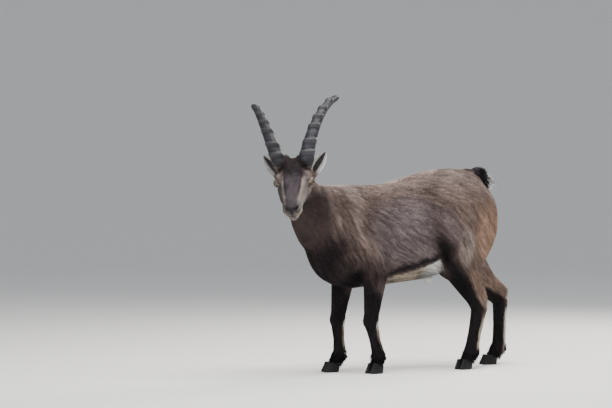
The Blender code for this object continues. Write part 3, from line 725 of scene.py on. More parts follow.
def eyePlace(points):
    # how far from the eye's middle, how far from the lids' opening (1 at its edge), how high
    away = folded(inHead(points)) - np.array(eye["centre"])
    reach = np.linalg.norm(away, axis=1)
    axis, level, upright = eyeAxes()
    sideways, high, out = (away @ way / np.maximum(reach, 1e-9) for way in (level, upright, axis))
    halfHeight = np.where(high > 0, lids["upper"], lids["lower"]) * (1 - 0.3 * (sideways / 0.75) ** 2)
    opening = np.hypot(sideways / lids["halfLength"], high / np.maximum(halfHeight, 0.1))
    return reach, np.where(out > 0, opening, 9), high


def sculptLids(skin):
    points = readPoints(skin.data)
    reach, opening, high = eyePlace(points)
    thick = lids["thickness"] * ramp(opening, lids["edge"], 1.5)
    fold = sum(height * hump(opening, middle, width) for height, middle, width in lids["folds"])
    target = eye["radius"] + thick + fold * (high > -0.2)
    inside = eye["radius"] - lids["sunk"]
    wanted = np.where(opening < 1, np.minimum(reach, inside), np.maximum(reach, target))
    wanted = np.where((opening < lids["edge"]) & (reach < lids["reach"]), wanted, reach)
    left, right = (np.array(headFrame @ mirrored(eye["centre"], side)) for side in sides.values())
    centres = np.where(inHead(points)[:, 1:2] > 0, left, right)
    writePoints(skin.data, centres + (points - centres) * (wanted / np.maximum(reach, 1e-9))[:, None])


def relaxMuzzle(points, edges):
    local = inHead(points)
    share = headNear(points) * ramp(local[:, 0], 0.085, 0.125)
    return relaxed(points, edges, share, skinShape["muzzleRounds"])


def nape(points):
    # the band behind the jaw, where the head's solid meets the neck's
    local = inHead(points)
    along, off, _ = earPlaces(points)
    band = hump(local[:, 0] + 0.25 * local[:, 2], -0.085, 0.045)
    clear = 1 - ramp(along, -0.35, -0.15) * ramp(off, 0.05, 0.04)
    return band * headNear(points) * clear * ramp(local[:, 2], 0.035, 0.005)


def addSkin():
    copies = [fleshCopy(node) for node in skinShape["flesh"] if "ear" not in node]
    skin = joinAll(copies + [tailDock()] + headPlugs(), "skin")
    applyModifier(skin, "REMESH", mode="VOXEL", voxel_size=skinShape["voxel"])
    points, edges = liftedSheath(readPoints(skin.data)), readEdges(skin.data)
    headShare = headShareOf(points)
    points = smoothed(points, edges, 1 - headShare, skinShape["bodyRounds"])
    points = smoothed(points, edges, headShare, skinShape["headRounds"])
    points = relaxMuzzle(points, edges)
    points = relaxed(points, edges, nape(points), skinShape["napeRounds"])
    writePoints(skin.data, points)
    thinned(skin, skinShape["triangles"])
    points, edges = readPoints(skin.data), readEdges(skin.data)
    writePoints(skin.data, relaxed(points, edges, trunkShareOf(points), skinShape["trunkRounds"]))
    shapeBody(skin)
    refine(skin)
    sinkUnderCoat(skin)
    sculptFace(skin)
    sculptLids(skin)
    ears = []
    for word in sides:
        ears.append(fleshCopy("ear_" + word, 0))
        applyModifier(ears[-1], "SUBSURF", levels=2, render_levels=2)
    joinAll([skin] + ears, "skin")
    applyModifier(skin, "TRIANGULATE")
    activate(skin)
    bpy.ops.object.shade_smooth()
    print("skin triangles", len(skin.data.polygons))
    return skin


skin = addSkin()
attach(skin, "root")
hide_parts(*skinShape["flesh"], "tail")

# Markings: one function gives the colour of a place, for the skin and for every tuft

print("stage: markings")

paint = {
    "taupe": (0.180, 0.130, 0.114),
    "back": (0.265, 0.203, 0.182),
    "shade": (0.080, 0.058, 0.053),
    "ash": (0.165, 0.134, 0.136),
    "black": (0.004, 0.0035, 0.0045),
    "dark": (0.013, 0.010, 0.012),
    "blaze": (0.060, 0.048, 0.055),
    "rust": (0.330, 0.215, 0.150),
    "cream": (0.500, 0.430, 0.330),
    "pale": (0.330, 0.275, 0.250),
    "white": (0.700, 0.700, 0.690),
    "grey": (0.150, 0.129, 0.122),
    "leather": (0.007, 0.006, 0.007),
    "hornGrey": (0.026, 0.026, 0.034),
    "hornPale": (0.070, 0.066, 0.074),
    "hornDark": (0.004, 0.004, 0.006),
}


def painted(colour, marks, palette=paint):
    # lays each mark over the last: the name of a colour, and how much of it shows
    for name, share in marks:
        colour = blend(colour, np.array(palette[name])[None], np.clip(share, 0, 1)[:, None])
    return colour


def plain(name, count):
    return np.tile(np.array(paint[name]), (count, 1))


def near(place, middle, radius):
    return ramp(distance(place, middle, radius), 1.25, 0.75)


def bodyColours(place):
    x, side, z = folded(place).T
    noSide = place * np.array((1, 0, 1))
    wobble = softNoise(place, 0.045, 1) - 0.5
    streak = softNoise(np.stack([x * 3.2 + z * 0.9, side, z * 0.35], axis=1), 0.05, 2)
    colour = painted(plain("taupe", len(place)), (
        ("back", ramp(z, 0.70, 0.82) * 0.8),
        ("shade", 0.55 * ramp(z + 0.03 * wobble, 0.60, 0.44) * ramp(x, 0.9, 0.6)),
        ("ash", 0.9 * near(noSide, (0.46, 0, 0.60), (0.22, 1, 0.15))),
        ("shade", 0.5 * near(place, (0.30, 0, 0.83), (0.10, 0.05, 0.03))),
        # neck and shoulder: pale and dark streaks that run down
        ("pale", 0.55 * ramp(streak, 0.45, 0.8) * ramp(x, 0.30, 0.16) * ramp(z, 0.52, 0.66)),
        ("shade", 0.5 * ramp(streak, 0.42, 0.22) * ramp(x, 0.34, 0.20) * ramp(z, 0.50, 0.60)),
        ("pale", 0.7 * near(place, (0.10, 0, 0.815), (0.07, 0.05, 0.035))),
        ("rust", 0.25 * near(place, (0.03, 0.08, 0.72), (0.07, 0.07, 0.08))),
    ))
    # painted shade in the hollows and creases, and a painted highlight on the muscles in the back's colour
    colour = painted(colour, (
        ("shade" if height < 0 else "back",
         abs(height) * 75 * hump(distance(folded(place), middle, reach), 0, 1))
        for middle, reach, height in bodyForms))
    breast = 0.22 * ramp(z, 0.40, 0.62) + x + 0.05 * wobble + 0.10 * (streak - 0.5)
    # how far below the line from the jaw to the shoulder
    below = np.interp(x, (-0.04, -0.005, 0.05, 0.12, 0.21), (0.745, 0.719, 0.679, 0.648, 0.628)) - z
    below = below + 0.05 * (streak - 0.5)
    # the belly's edge, with a dark seam over it
    edge = np.interp(x, (0.30, 0.36, 0.434, 0.56, 0.63), (0.390, 0.410, 0.435, 0.465, 0.520))
    edge = edge + 0.010 * wobble
    outer = ramp(x + 0.4 * (z - 0.45), 0.635, 0.610)
    belly = ramp(z, edge + 0.006, edge - 0.006) * ramp(x, 0.28, 0.36)
    belly *= np.where(side > 0.055, outer, ramp(x, 0.80, 0.74))
    return painted(colour, (
        ("shade", ramp(breast, 0.46, 0.22) * ramp(z, 0.74, 0.54) * 0.75),
        ("dark", ramp(breast, 0.36, 0.14) * ramp(z + 0.12 * (streak - 0.5), 0.64, 0.46)),
        ("black", ramp(z + 0.04 * wobble, 0.47, 0.40) * ramp(x, 0.30, 0.20) * 0.8),
        # painted shadow on the throat under the jaw: shade, then dark, deeper below the line from the jaw
        # to the shoulder
        ("shade", ramp(below, 0.010, 0.060) * ramp(x, 0.20, 0.10) * 0.85),
        ("dark", ramp(below, 0.045, 0.095) * ramp(x, 0.17, 0.07) * 0.90),
        ("dark", hump(z, edge + 0.022, 0.020) * ramp(x, 0.24, 0.34) * ramp(x, 0.70, 0.64)),
        ("cream", belly * 0.95),
        ("white", belly * ramp(x, 0.50, 0.57)),
    ))


def haunchColours(place, colour):
    x, side, z = folded(place).T
    noSide = place * np.array((1, 0, 1))
    front = np.interp(z, (0.30, 0.384, 0.49, 0.55, 0.60, 0.70), (0.735, 0.705, 0.640, 0.605, 0.585, 0.565))
    behindBelly = np.maximum(ramp(z, 0.50, 0.55), ramp(x + 0.4 * (z - 0.45), 0.605, 0.625))
    band = hump(x, front, 0.045) * ramp(side, 0.05, 0.09) * behindBelly
    rump = ramp(x, 0.893, 0.915) * ramp(side, 0.082, 0.062) * ramp(z, 0.58, 0.66) * ramp(z, 0.835, 0.80)
    return painted(colour, (
        ("shade", band * ramp(z, 0.76, 0.62) * 0.85),
        ("black", band * ramp(z, 0.64, 0.54) * 0.95),
        ("rust", 0.75 * ramp(x, 0.74, 0.84) * ramp(z, 0.80, 0.66) * ramp(z, 0.44, 0.54)),
        ("pale", 0.60 * near(noSide, (0.728, 0, 0.548), (0.045, 1, 0.085))),
        ("dark", 0.85 * near(place, (0.832, 0, 0.892), (0.050, 0.030, 0.035))),
        ("shade", 0.45 * near(place, (0.76, 0, 0.90), (0.12, 0.08, 0.04))),
        ("white", rump),
    ))


legJoints = {
    # joints in the side view, as x and z: elbow or stifle, knee or hock, fetlock
    "foreleg_left": ((0.288, 0.450), (0.273, 0.226), (0.312, 0.082)),
    "foreleg_right": ((0.262, 0.450), (0.214, 0.226), (0.225, 0.084)),
    "hindleg_left": ((0.675, 0.490), (0.838, 0.268), (0.800, 0.085)),
    "hindleg_right": ((0.795, 0.470), (1.084, 0.292), (1.074, 0.085)),
}
legTop, legReach, coronetHeight = 0.43, 0.11, 0.043
legAcross = {name: 0.09 if name.endswith("right") else -0.09 for name in legJoints}


def legMiddle(z, name):
    # how far back the leg's middle line is at height z
    track = sorted((height, x) for x, height in legJoints[name])
    toe = track[0][1] - 0.02
    return np.interp(z, [0.0] + [h for h, _ in track], [toe] + [x for _, x in track])


def legOf(place):
    # the number of the nearest leg on this side, and how far its middle line is
    best = np.full(len(place), -1)
    least = np.full(len(place), 9.0)
    for k, name in enumerate(legJoints):
        otherSide = (place[:, 1] > 0) != (legAcross[name] > 0)
        away = np.abs(place[:, 0] - legMiddle(place[:, 2], name)) + otherSide
        best = np.where(away < least, k, best)
        least = np.minimum(away, least)
    return best, least


def foreMarks(name, place, behind):
    z = place[:, 2]
    knee = legJoints[name][1]
    inner = ramp(np.abs(place[:, 1]), 0.080, 0.066)
    kneeSpot = distance(place, (knee[0] + 0.028, 0, knee[1] - 0.012), (0.016, 9, 0.022))
    return (
        ("shade", ramp(z, 0.46, 0.38) * 0.8),
        ("dark", ramp(z + 1.2 * behind, 0.40, 0.33)),
        ("dark", ramp(z, 0.28, 0.24)),
        ("cream", ramp(behind, 0.000, 0.012) * ramp(z, 0.215, 0.19) * ramp(z, 0.09, 0.14)
         * (0.35 + 0.5 * inner)),
        ("white", 0.8 * ramp(kneeSpot, 1.2, 0.7)),
        ("black", ramp(z, 0.10, 0.06) * 0.9),
    )


def hindMarks(name, place, behind):
    z = place[:, 2]
    knee = legJoints[name][1]
    far = legAcross[name] > 0
    wobble = softNoise(place, 0.03, 4) - 0.5
    hockSpot = distance(place, (knee[0] + 0.040, 0, knee[1] + 0.014), (0.022, 9, 0.026))
    stripe = ramp(behind + 0.006 * wobble, 0.002, 0.012) * ramp(z, knee[1] - 0.02, knee[1] - 0.06)
    farStripe = ramp(behind, 0.004, 0.016) * ramp(z, knee[1] - 0.02, knee[1] - 0.05)
    return (
        ("rust", ramp(behind, 0.0, 0.03) * ramp(z, 0.50, 0.42) * 0.35),
        ("black", ramp(behind + 0.012 * wobble, 0.020, -0.012) * ramp(z, 0.54, 0.44) * 0.95),
        ("dark", ramp(z + 0.02 * wobble + 0.3 * behind, knee[1] + 0.01, knee[1] - 0.05)),
        ("cream", stripe * ramp(z, 0.08, 0.12)),
        ("white", (0.95 if far else 0.3) * ramp(hockSpot, 1.2, 0.7)),
        ("white", 0.7 * far * farStripe),
        ("pale", 0.8 * far * ramp(behind, -0.006, 0.012) * ramp(z, 0.12, 0.08)),
        ("black", ramp(z, 0.10, 0.06) * 0.6),
    )


def legColours(place, colour):
    which, _ = legOf(place)
    low = ramp(place[:, 2], 0.47, 0.38)
    for k, name in enumerate(legJoints):
        behind = place[:, 0] - legMiddle(place[:, 2], name)
        marks = foreMarks if name.startswith("fore") else hindMarks
        tone = painted(colour, marks(name, place, behind))
        colour = blend(colour, tone, ((which == k) * low)[:, None])
    return colour


def headColours(points, colour):
    local = inHead(points)
    noSide = local * np.array((1, 0, 1))
    x, y, z = folded(local).T
    wobble = softNoise(local, 0.012, 6) - 0.5
    blazeWide = np.interp(x, (0.00, 0.04, 0.10, 0.16), (0.034, 0.033, 0.028, 0.021)) + 0.004 * wobble
    top = ramp(z, -0.028, -0.004)
    blazeEdge = hump(y, blazeWide + 0.0050, 0.0040) * top * ramp(x, 0.02, 0.05) * ramp(x, 0.175, 0.15)
    blazeRim = hump(y, blazeWide - 0.003, 0.003) * ramp(x, 0.01, 0.05) * ramp(x, 0.15, 0.10) * top
    tuft = ramp(x, 0.040, 0.012) * ramp(z, 0.018, 0.034) * ramp(y, 0.050, 0.034)
    lip = near(noSide, (0.152, 0, -0.036), (0.040, 1, 0.020)) * ramp(y, 0.006, 0.016)
    reach, opening, high = eyePlace(points)
    eyeRing = hump(opening, 1.85, 0.35) * (reach < 0.034)
    padWide = padHalfWidth(z)
    pad = ramp(y, padWide + 0.002, padWide - 0.001)
    pad *= ramp(z, rhinarium["top"] + 0.004, rhinarium["top"] - 0.002)
    pad *= ramp(z, rhinarium["bottom"] - 0.004, rhinarium["bottom"]) * ramp(x, 0.168, 0.176)
    gap = np.abs(z - mouthHeight(local))
    tone = painted(plain("grey", len(points)), (
        ("taupe", ramp(x, 0.05, -0.02) * 0.9),
        ("shade", 0.6 * ramp(z + 0.5 * x, -0.020, 0.020) * ramp(x, 0.020, -0.02)),
        ("shade", 0.55 * near(noSide, (-0.010, 0, -0.050), (0.05, 1, 0.03))),
        ("pale", blazeEdge * 0.70),
        ("blaze", ramp(y, blazeWide + 0.002, blazeWide - 0.003) * top * ramp(x, -0.02, 0.01)),
        ("dark", 0.75 * blazeRim),
        ("dark", 0.85 * tuft),
        ("cream", 0.65 * lip),
        ("pale", 0.7 * ramp(z, -0.046, -0.054) * ramp(x, 0.10, 0.13)),
        ("dark", 0.65 * ramp(z, -0.050, -0.080) * ramp(x, 0.12, 0.07)),
        ("pale", eyeRing * np.where(high > 0, 0.60, 0.4)),
        ("leather", ramp(opening, 1.34, 1.16) * (reach < lids["reach"])),
        ("leather", ramp(nostrilReach(local), 1.25, 0.85)),
        ("leather", pad),
        ("leather", ramp(gap, 0.0030, 0.0012) * ramp(x, 0.094, 0.104)),
    ))
    return blend(colour, tone, headShareOf(points)[:, None])


def earSide(points, normals):
    turnedBack = normals @ (np.array(headFrame.to_3x3()) / headPose["scale"])
    turnedBack[:, 1] *= np.sign(inHead(points)[:, 1])
    return turnedBack @ unit(np.array(earShape["opening"]))


def earColours(points, normals, colour):
    along, _, across = earPlaces(points)
    inner = ramp(earSide(points, normals), -0.05, 0.25)
    wide = 0.012 * np.sin(np.pi * np.clip(along * 0.95 + 0.12, 0, 1))
    tone = painted(plain("taupe", len(points)), (
        ("white", inner * 0.60),
        ("dark", inner * ramp(across, wide + 0.002, wide - 0.003) * ramp(along, 0.92, 0.78) * 0.92),
        ("white", ramp(across, 0.013, 0.019) * 0.6),
    ))
    return blend(colour, tone, earShareOf(points)[:, None])


def tailColours(points, normals, colour):
    under = ramp(normals[:, 2], -0.35, -0.75)
    tip = ramp(tailPlaces(points)[0], 0.70, 0.90) * ramp(normals[:, 2], 0.75, 0.30)
    tone = painted(plain("dark", len(points)), (("white", np.maximum(under, 0.9 * tip)),))
    return blend(colour, tone, tailShareOf(points)[:, None])


def markings(points, normals):
    place = inDesign(points)
    colour = haunchColours(place, bodyColours(place))
    colour = legColours(place, colour)
    colour = headColours(points, colour)
    colour = earColours(points, normals, colour)
    colour = tailColours(points, normals, colour)
    cloud = 0.78 + 0.44 * softNoise(place, 0.05, 8)
    fleck = 0.84 + 0.32 * softNoise(place, 0.011, 9)
    return np.clip(colour * (cloud * fleck)[:, None], 0, 1)


def streaks(points, ways):
    steps = range(-3, 4)
    total = sum(softNoise(points + ways * step * 0.008, 0.0075, 11) for step in steps)
    return (total / len(steps) - 0.5) * 2.2


def writeColours(mesh, colours, name="coatColour"):
    layer = mesh.color_attributes.new(name=name, type="FLOAT_COLOR", domain="POINT")
    full = np.ones((len(colours), 4), np.float32)
    full[:, :3] = np.clip(colours, 0, 1)
    layer.data.foreach_set("color", full.ravel())


skinPoints, skinNormals = readPoints(skin.data), readNormals(skin.data)
underCoatShade = 0.8
writeColours(skin.data, markings(skinPoints, skinNormals) * underCoatShade)

# Coat: solid tapered tufts, set on the skin along the lie of the hair

print("stage: coat")

lie = (
    # place beside the middle line, then the way the hair runs
    ((0.15, 0.02, 0.80), (1, 0.1, 0)),
    ((0.30, 0.02, 0.82), (1, 0.1, 0)),
    ((0.50, 0.02, 0.85), (1, 0.15, 0)),
    ((0.70, 0.02, 0.88), (1, 0.2, 0)),
    ((0.85, 0.02, 0.87), (1, 0.1, -0.2)),
    ((0.30, 0.10, 0.76), (1, 0.1, -0.35)),
    ((0.50, 0.12, 0.78), (1, 0.1, -0.30)),
    ((0.70, 0.10, 0.80), (1, 0.1, -0.30)),
    ((0.30, 0.13, 0.60), (0.75, 0, -0.65)),
    ((0.45, 0.15, 0.62), (0.85, 0, -0.5)),
    ((0.60, 0.15, 0.62), (0.9, 0, -0.45)),
    ((0.40, 0.12, 0.45), (1, 0, -0.35)),
    ((0.55, 0.12, 0.45), (1, 0, -0.2)),
    ((0.40, 0.03, 0.37), (1, 0, 0)),
    ((0.60, 0.03, 0.40), (1, 0, 0.05)),
    ((0.62, 0.14, 0.52), (0.55, 0, -0.8)),
    ((0.75, 0.12, 0.65), (0.5, 0, -0.85)),
    ((0.72, 0.11, 0.50), (0.25, 0, -1)),
    ((0.85, 0.10, 0.60), (0.35, 0, -0.95)),
    ((0.93, 0.05, 0.70), (0.15, 0.1, -1)),
    ((0.90, 0.07, 0.80), (0.6, 0.1, -0.8)),
    ((0.20, 0.12, 0.65), (0.45, 0, -0.9)),
    ((0.25, 0.12, 0.50), (0.35, 0, -0.95)),
    ((0.02, 0.00, 0.58), (0.25, 0, -1)),
    ((0.06, 0.03, 0.45), (0.6, 0, -0.8)),
    ((0.15, 0.03, 0.38), (1, 0, -0.1)),
    ((0.05, 0.08, 0.70), (0.55, 0.05, -0.8)),
    ((0.10, 0.09, 0.60), (0.45, 0.05, -0.9)),
    ((-0.03, 0.05, 0.76), (0.6, 0.1, -0.75)),
    ((0.05, 0.00, 0.82), (0.9, 0, -0.1)),
    ((-0.02, 0.00, 0.62), (0.4, 0, -0.9)),
)
headLie = (
    # the same, in the head's own frame
    ((0.185, 0.012, -0.010), (-0.8, 0.6, 0.1)),
    ((0.150, 0.000, 0.018), (-1, 0.1, 0.1)),
    ((0.150, 0.030, -0.020), (-1, 0.2, -0.25)),
    ((0.100, 0.030, 0.000), (-1, 0.15, 0.05)),
    ((0.100, 0.030, -0.055), (-1, 0.1, -0.25)),
    ((0.050, 0.000, 0.040), (-1, 0.25, 0.1)),
    ((0.040, 0.048, -0.030), (-1, 0.2, -0.35)),
    ((0.020, 0.052, 0.022), (-0.9, 0.35, 0.35)),
    ((-0.020, 0.060, -0.020), (-1, 0.2, -0.35)),
    ((-0.030, 0.055, -0.070), (-0.9, 0.1, -0.5)),
    ((0.000, 0.000, 0.055), (-1, 0.3, 0.1)),
    ((-0.040, 0.000, 0.070), (-1, 0.15, 0.0)),
    ((-0.080, 0.000, 0.060), (-0.8, 0.3, -0.6)),
    ((-0.030, 0.045, 0.040), (-0.9, 0.5, 0.0)),
    ((0.030, 0.000, -0.095), (-1, 0.1, -0.1)),
    ((0.130, 0.000, -0.070), (-1, 0.1, -0.1)),
)
tuftShape = {
    # share of the length, share of the width, share of the coat's depth
    "rings": ((0.0, 0.75, -0.25), (0.45, 1.0, 0.62)),
    "rootSunk": 0.0006,
    "tipHeight": 0.95,
    "thickness": 0.38,
    "wildness": 0.16,
    # a region whose hair is all shorter than this has tufts of one ring and a tip
    "shortBelow": 0.0150,
    "shortWidth": 1.15,
    "shortRise": 0.0007,
    "patch": 0.0014,
    "tones": (0.74, 0.74, 0.74, 0.97, 1.0, 0.97, 1.14),
    "toneSpread": (0.78, 1.22),
    "lengthSpread": (0.75, 1.2),
    "widthSpread": (0.8, 1.2),
    "tipSpread": (0.75, 1.15),
    "looseTip": (0.08, 0.30),
    "looseMiddle": 0.10,
    "straight": 0.45,
    "onSkin": 0.03,
    "cell": 0.012,
    "piece": 195000,
}


def guideTable():
    rows = []
    for flip in sides.values():
        rows += [(homeShift + mirrored(place, flip), mirrored(way, flip)) for place, way in lie]
        rows += [(headFrame @ mirrored(place, flip), headFrame.to_3x3() @ mirrored(way, flip))
                 for place, way in headLie]
    for name, joints in legJoints.items():
        chain = list(joints) + [(joints[-1][0] - 0.03, 0.0)]
        for (x0, z0), (x1, z1) in zip(chain[:-1], chain[1:]):
            for share in (0.25, 0.6, 0.9):
                spot = (x0 + (x1 - x0) * share, legAcross[name], z0 + (z1 - z0) * share)
                if spot[2] < 0.42:
                    rows.append((homeShift + Vector(spot), Vector((x1 - x0 + 0.03, 0, z1 - z0 - 0.03))))
    places = np.array([list(place) for place, _ in rows])
    ways = unit(np.array([list(way) for _, way in rows]))
    return places, ways


guidePlaces, guideWays = guideTable()


def lieOf(points, normals):
    total = np.zeros_like(points)
    batch = 20000
    for start in range(0, len(points), batch):
        part = points[start:start + batch]
        away = np.linalg.norm(part[:, None] - guidePlaces[None], axis=2)
        total[start:start + batch] = (1 / (away ** 3 + 0.00002)) @ guideWays
    total = unit(total)
    earWay = np.tile(unit(np.array(earShape["axis"])), (len(points), 1))
    earWay[:, 1] *= np.sign(inHead(points)[:, 1])
    earWay = unit(earWay @ np.array(headFrame.to_3x3()).T)
    total = blend(total, earWay, earShareOf(points)[:, None])
    line = tailLine()
    step = np.clip((tailPlaces(points)[0] * tailShape["steps"]).astype(int), 1, tailShape["steps"] - 1)
    tailWay = unit(line[step + 1] - line[step - 1])
    total = blend(total, tailWay, tailShareOf(points)[:, None])
    return unit(total - normals * np.sum(total * normals, axis=1)[:, None])


def turned(ways, normals, angles):
    return ways * np.cos(angles)[:, None] + np.cross(normals, ways) * np.sin(angles)[:, None]


def hornOver(points):
    return distance(folded(inHead(points)), horn["root"], horn["footShape"]) < horn["footRadius"]


def isBare(points):
    # round the eyes, nostrils, nose pad, lips, under the horns and below the coronets
    local = inHead(points)
    x, y, z = folded(local).T
    reach, opening, _ = eyePlace(points)
    bare = (opening < lids["bare"]) & (reach < lids["reach"])
    bare |= nostrilReach(local) < 1.0
    bare |= (y < padHalfWidth(z)) & (z < rhinarium["top"]) & (z > rhinarium["bottom"]) & (x > 0.17)
    bare |= (np.abs(z - mouthHeight(local)) < 0.0022) & (x > 0.098)
    return bare | hornOver(points) | (inDesign(points)[:, 2] < coronetHeight)


regionNames = ("head", "neck", "trunk", "forelegLeft", "forelegRight", "hindlegLeft", "hindlegRight",
               "earLeft", "earRight", "tail", "face")
regionLegs = dict(zip(regionNames[3:7], legJoints))
shortRegions = ("face", "earLeft", "earRight")
faceHair = 0.0118


def regionOf(points, lengths):
    place = inDesign(points)
    leg, away = legOf(place)
    onLeg = (place[:, 2] < legTop) & (away < legReach) & (np.abs(place[:, 1]) > 0.02)
    onEar = earShareOf(points) > 0.5
    left = inHead(points)[:, 1] > 0
    number = {name: k for k, name in enumerate(regionNames)}
    region = np.full(len(points), number["trunk"])
    for chosen, value in (
        (place[:, 0] < 0.12, number["neck"]),
        (headShareOf(points) > 0.5, number["head"]),
        (onLeg, number["forelegLeft"] + leg),
        (onEar & left, number["earLeft"]),
        (onEar & ~left, number["earRight"]),
        (tailShareOf(points) > 0.5, number["tail"]),
    ):
        region = np.where(chosen, value, region)
    return np.where((region == number["head"]) & (lengths < faceHair), number["face"], region)


def sampleRoots(draw):
    corners = readValues(skin.data.polygons, "vertices", 3, np.int32)
    a, b, c = (skinPoints[corners[:, k]] for k in range(3))
    area = np.linalg.norm(np.cross(b - a, c - a), axis=1) / 2
    middle = (a + b + c) / 3
    room = coatSizes(middle)[:, 3]
    weight = area / room ** 2
    # the sum runs from cell to cell, so that the roots spread evenly
    cell = np.floor((middle - middle.min(axis=0)) / tuftShape["cell"]).astype(np.int64)
    order = np.lexsort((cell[:, 1], cell[:, 0], cell[:, 2]))
    sums = np.cumsum(weight[order])
    count = int(sums[-1])
    spots = (np.arange(count) + draw.random(count)) * sums[-1] / count
    chosen = order[np.minimum(np.searchsorted(sums, spots), len(order) - 1)]
    u, v = draw.random(count), draw.random(count)
    over = u + v > 1
    u[over], v[over] = 1 - u[over], 1 - v[over]
    w = 1 - u - v
    mixed = [w[:, None] * table[corners[chosen, 0]] + u[:, None] * table[corners[chosen, 1]]
             + v[:, None] * table[corners[chosen, 2]] for table in (skinPoints, skinNormals)]
    return mixed[0], unit(mixed[1])


def unwrapped(points, label):
    # the skin's own shape laid flat: round the middle of the region, and along it
    place, local = inDesign(points), inHead(points)
    if label in ("earLeft", "earRight"):
        around = np.arctan2(local[:, 1] - np.sign(local[:, 1]) * 0.09, local[:, 0] + 0.12)
        along = earPlaces(points)[0]
    elif label in ("head", "face"):
        around = np.arctan2(local[:, 1], local[:, 2] + 0.03)
        along = local[:, 0]
    elif label in ("neck", "trunk"):
        around = np.arctan2(place[:, 1], place[:, 2] - 0.60)
        along = place[:, 0]
    elif label == "tail":
        around = np.arctan2(place[:, 1], place[:, 2] - 0.84)
        along = tailPlaces(points)[0] + place[:, 0]
    else:
        name = regionLegs[label]
        around = np.arctan2(place[:, 1] - legAcross[name], place[:, 0] - legMiddle(place[:, 2], name))
        along = place[:, 2]
    flat = np.stack([around, along], axis=1)
    low, high = flat.min(axis=0), flat.max(axis=0)
    return 0.01 + 0.98 * (flat - low) / np.maximum(high - low, 1e-9)


def tuftPoints(roots, normals, ways, sizes, free, draw, tree):
    # each tuft: rings of three points that hug the skin, then a tip; free hair stands off it
    count = len(roots)
    free = free[:, None]
    depth, length, width, _ = sizes.T
    length = length * draw.uniform(*tuftShape["lengthSpread"], count)
    width = width * draw.uniform(*tuftShape["widthSpread"], count)
    sideways = np.cross(normals, ways)
    bend = turned(ways, normals, draw.normal(0, tuftShape["wildness"], count))
    short = length.max() < tuftShape["shortBelow"]
    rings = tuftShape["rings"][:1] if short else tuftShape["rings"]
    points = np.empty((count, 3 * len(rings) + 1, 3))
    for ring, (share, wide, lift) in enumerate(rings):
        middle = roots + ways * (length * share)[:, None]
        up = normals
        if ring:
            loose = middle + normals * (length * tuftShape["looseMiddle"])[:, None]
            middle, up = onSkin(middle, normals, tree)
            middle = blend(middle, loose, free)
            up = unit(blend(up, normals, free))
        height = depth * lift - (0 if ring else tuftShape["rootSunk"])
        middle = middle + up * height[:, None]
        half = (width * (tuftShape["shortWidth"] if short else wide) / 2)[:, None]
        crest = half * 2 * tuftShape["thickness"] + (tuftShape["shortRise"] if short else 0)
        points[:, ring * 3] = middle + sideways * half
        points[:, ring * 3 + 1] = middle + up * crest
        points[:, ring * 3 + 2] = middle - sideways * half
    straight = tuftShape["straight"]
    end = roots + ways * (length * straight)[:, None] + bend * (length * (1 - straight))[:, None]
    tip, up = onSkin(end, normals, tree)
    loose = end + normals * (length * draw.uniform(*tuftShape["looseTip"], count))[:, None]
    tip = blend(tip, loose, free)
    height = depth * tuftShape["tipHeight"] * draw.uniform(*tuftShape["tipSpread"], count) + 0.0004
    points[:, -1] = tip + up * height[:, None]
    return points


def tuftMesh(name, roots, normals, ways, sizes, colours, uv, free, draw, tree):
    points = tuftPoints(roots, normals, ways, sizes, free, draw, tree)
    count, corners, _ = points.shape
    patch = np.array(((-1, -1), (0, -1), (1, -1), (-1, 0), (0, 0), (1, 0), (0, 1))) * tuftShape["patch"]
    tones = np.array(tuftShape["tones"])
    faces = np.array(((0, 1, 4), (0, 4, 3), (1, 2, 5), (1, 5, 4), (2, 0, 3), (2, 3, 5),
                      (3, 4, 6), (4, 5, 6), (5, 3, 6), (2, 1, 0)))
    if corners == 4:
        patch, tones = patch[[0, 1, 2, 6]], tones[[0, 1, 2, 6]]
        faces = np.array(((0, 1, 3), (1, 2, 3), (2, 0, 3), (2, 1, 0)))
    triangles = (faces[None] + (np.arange(count) * corners)[:, None, None]).reshape(-1, 3)
    mesh = bpy.data.meshes.new(name)
    mesh.vertices.add(count * corners)
    mesh.vertices.foreach_set("co", points.astype(np.float32).ravel())
    mesh.loops.add(len(triangles) * 3)
    mesh.loops.foreach_set("vertex_index", triangles.astype(np.int32).ravel())
    mesh.polygons.add(len(triangles))
    mesh.polygons.foreach_set("loop_start", (np.arange(len(triangles)) * 3).astype(np.int32))
    mesh.polygons.foreach_set("use_smooth", np.ones(len(triangles), bool))
    mesh.update(calc_edges=True)
    layer = mesh.uv_layers.new(name="OFBake")
    places = (uv[:, None] + patch[None]).reshape(-1, 2)
    layer.data.foreach_set("uv", places[triangles.ravel()].astype(np.float32).ravel())
    tone = np.repeat(colours[:, None], corners, axis=1) * tones[None, :, None]
    tone *= draw.uniform(*tuftShape["toneSpread"], count)[:, None, None]
    writeColours(mesh, tone.reshape(-1, 3))
    piece = bpy.data.objects.new(name, mesh)
    bpy.context.collection.objects.link(piece)
    print(name, len(mesh.polygons))
    return piece


def onSkin(points, fallback, tree):
    placed, normals = points.copy(), fallback.copy()
    for k, point in enumerate(points):
        spot, normal, _, away = tree.find_nearest(point)
        if away < tuftShape["onSkin"]:
            placed[k] = spot
            normals[k] = normal
    return placed, unit(normals * 0.6 + fallback * 0.4)


locks = {
    # place and reach of the roots, way of the hair, its length, width and depth, and how many
    "sheath": ((0.628, 0.0, 0.394), 0.016, (0.1, 0.0, -1.0), 0.034, 0.0026, 0.002, 420, "white"),
    "fetlocks": ((0.022, 0.0, -0.004), 0.024, (0.20, 0.0, -1.0), 0.020, 0.0024, 0.004, 300, None),
    "coronets": ((-0.012, 0.0, -0.034), 0.046, (-0.30, 0.0, -1.0), 0.021, 0.0026, 0.003, 640, None),
    "hornCollars": (horn["root"], 0.044, (-0.36, 0.42, 0.83), 0.016, 0.0021, 0.004, 900, None),
}
lockLeast = 28
lockFreedom = 0.6


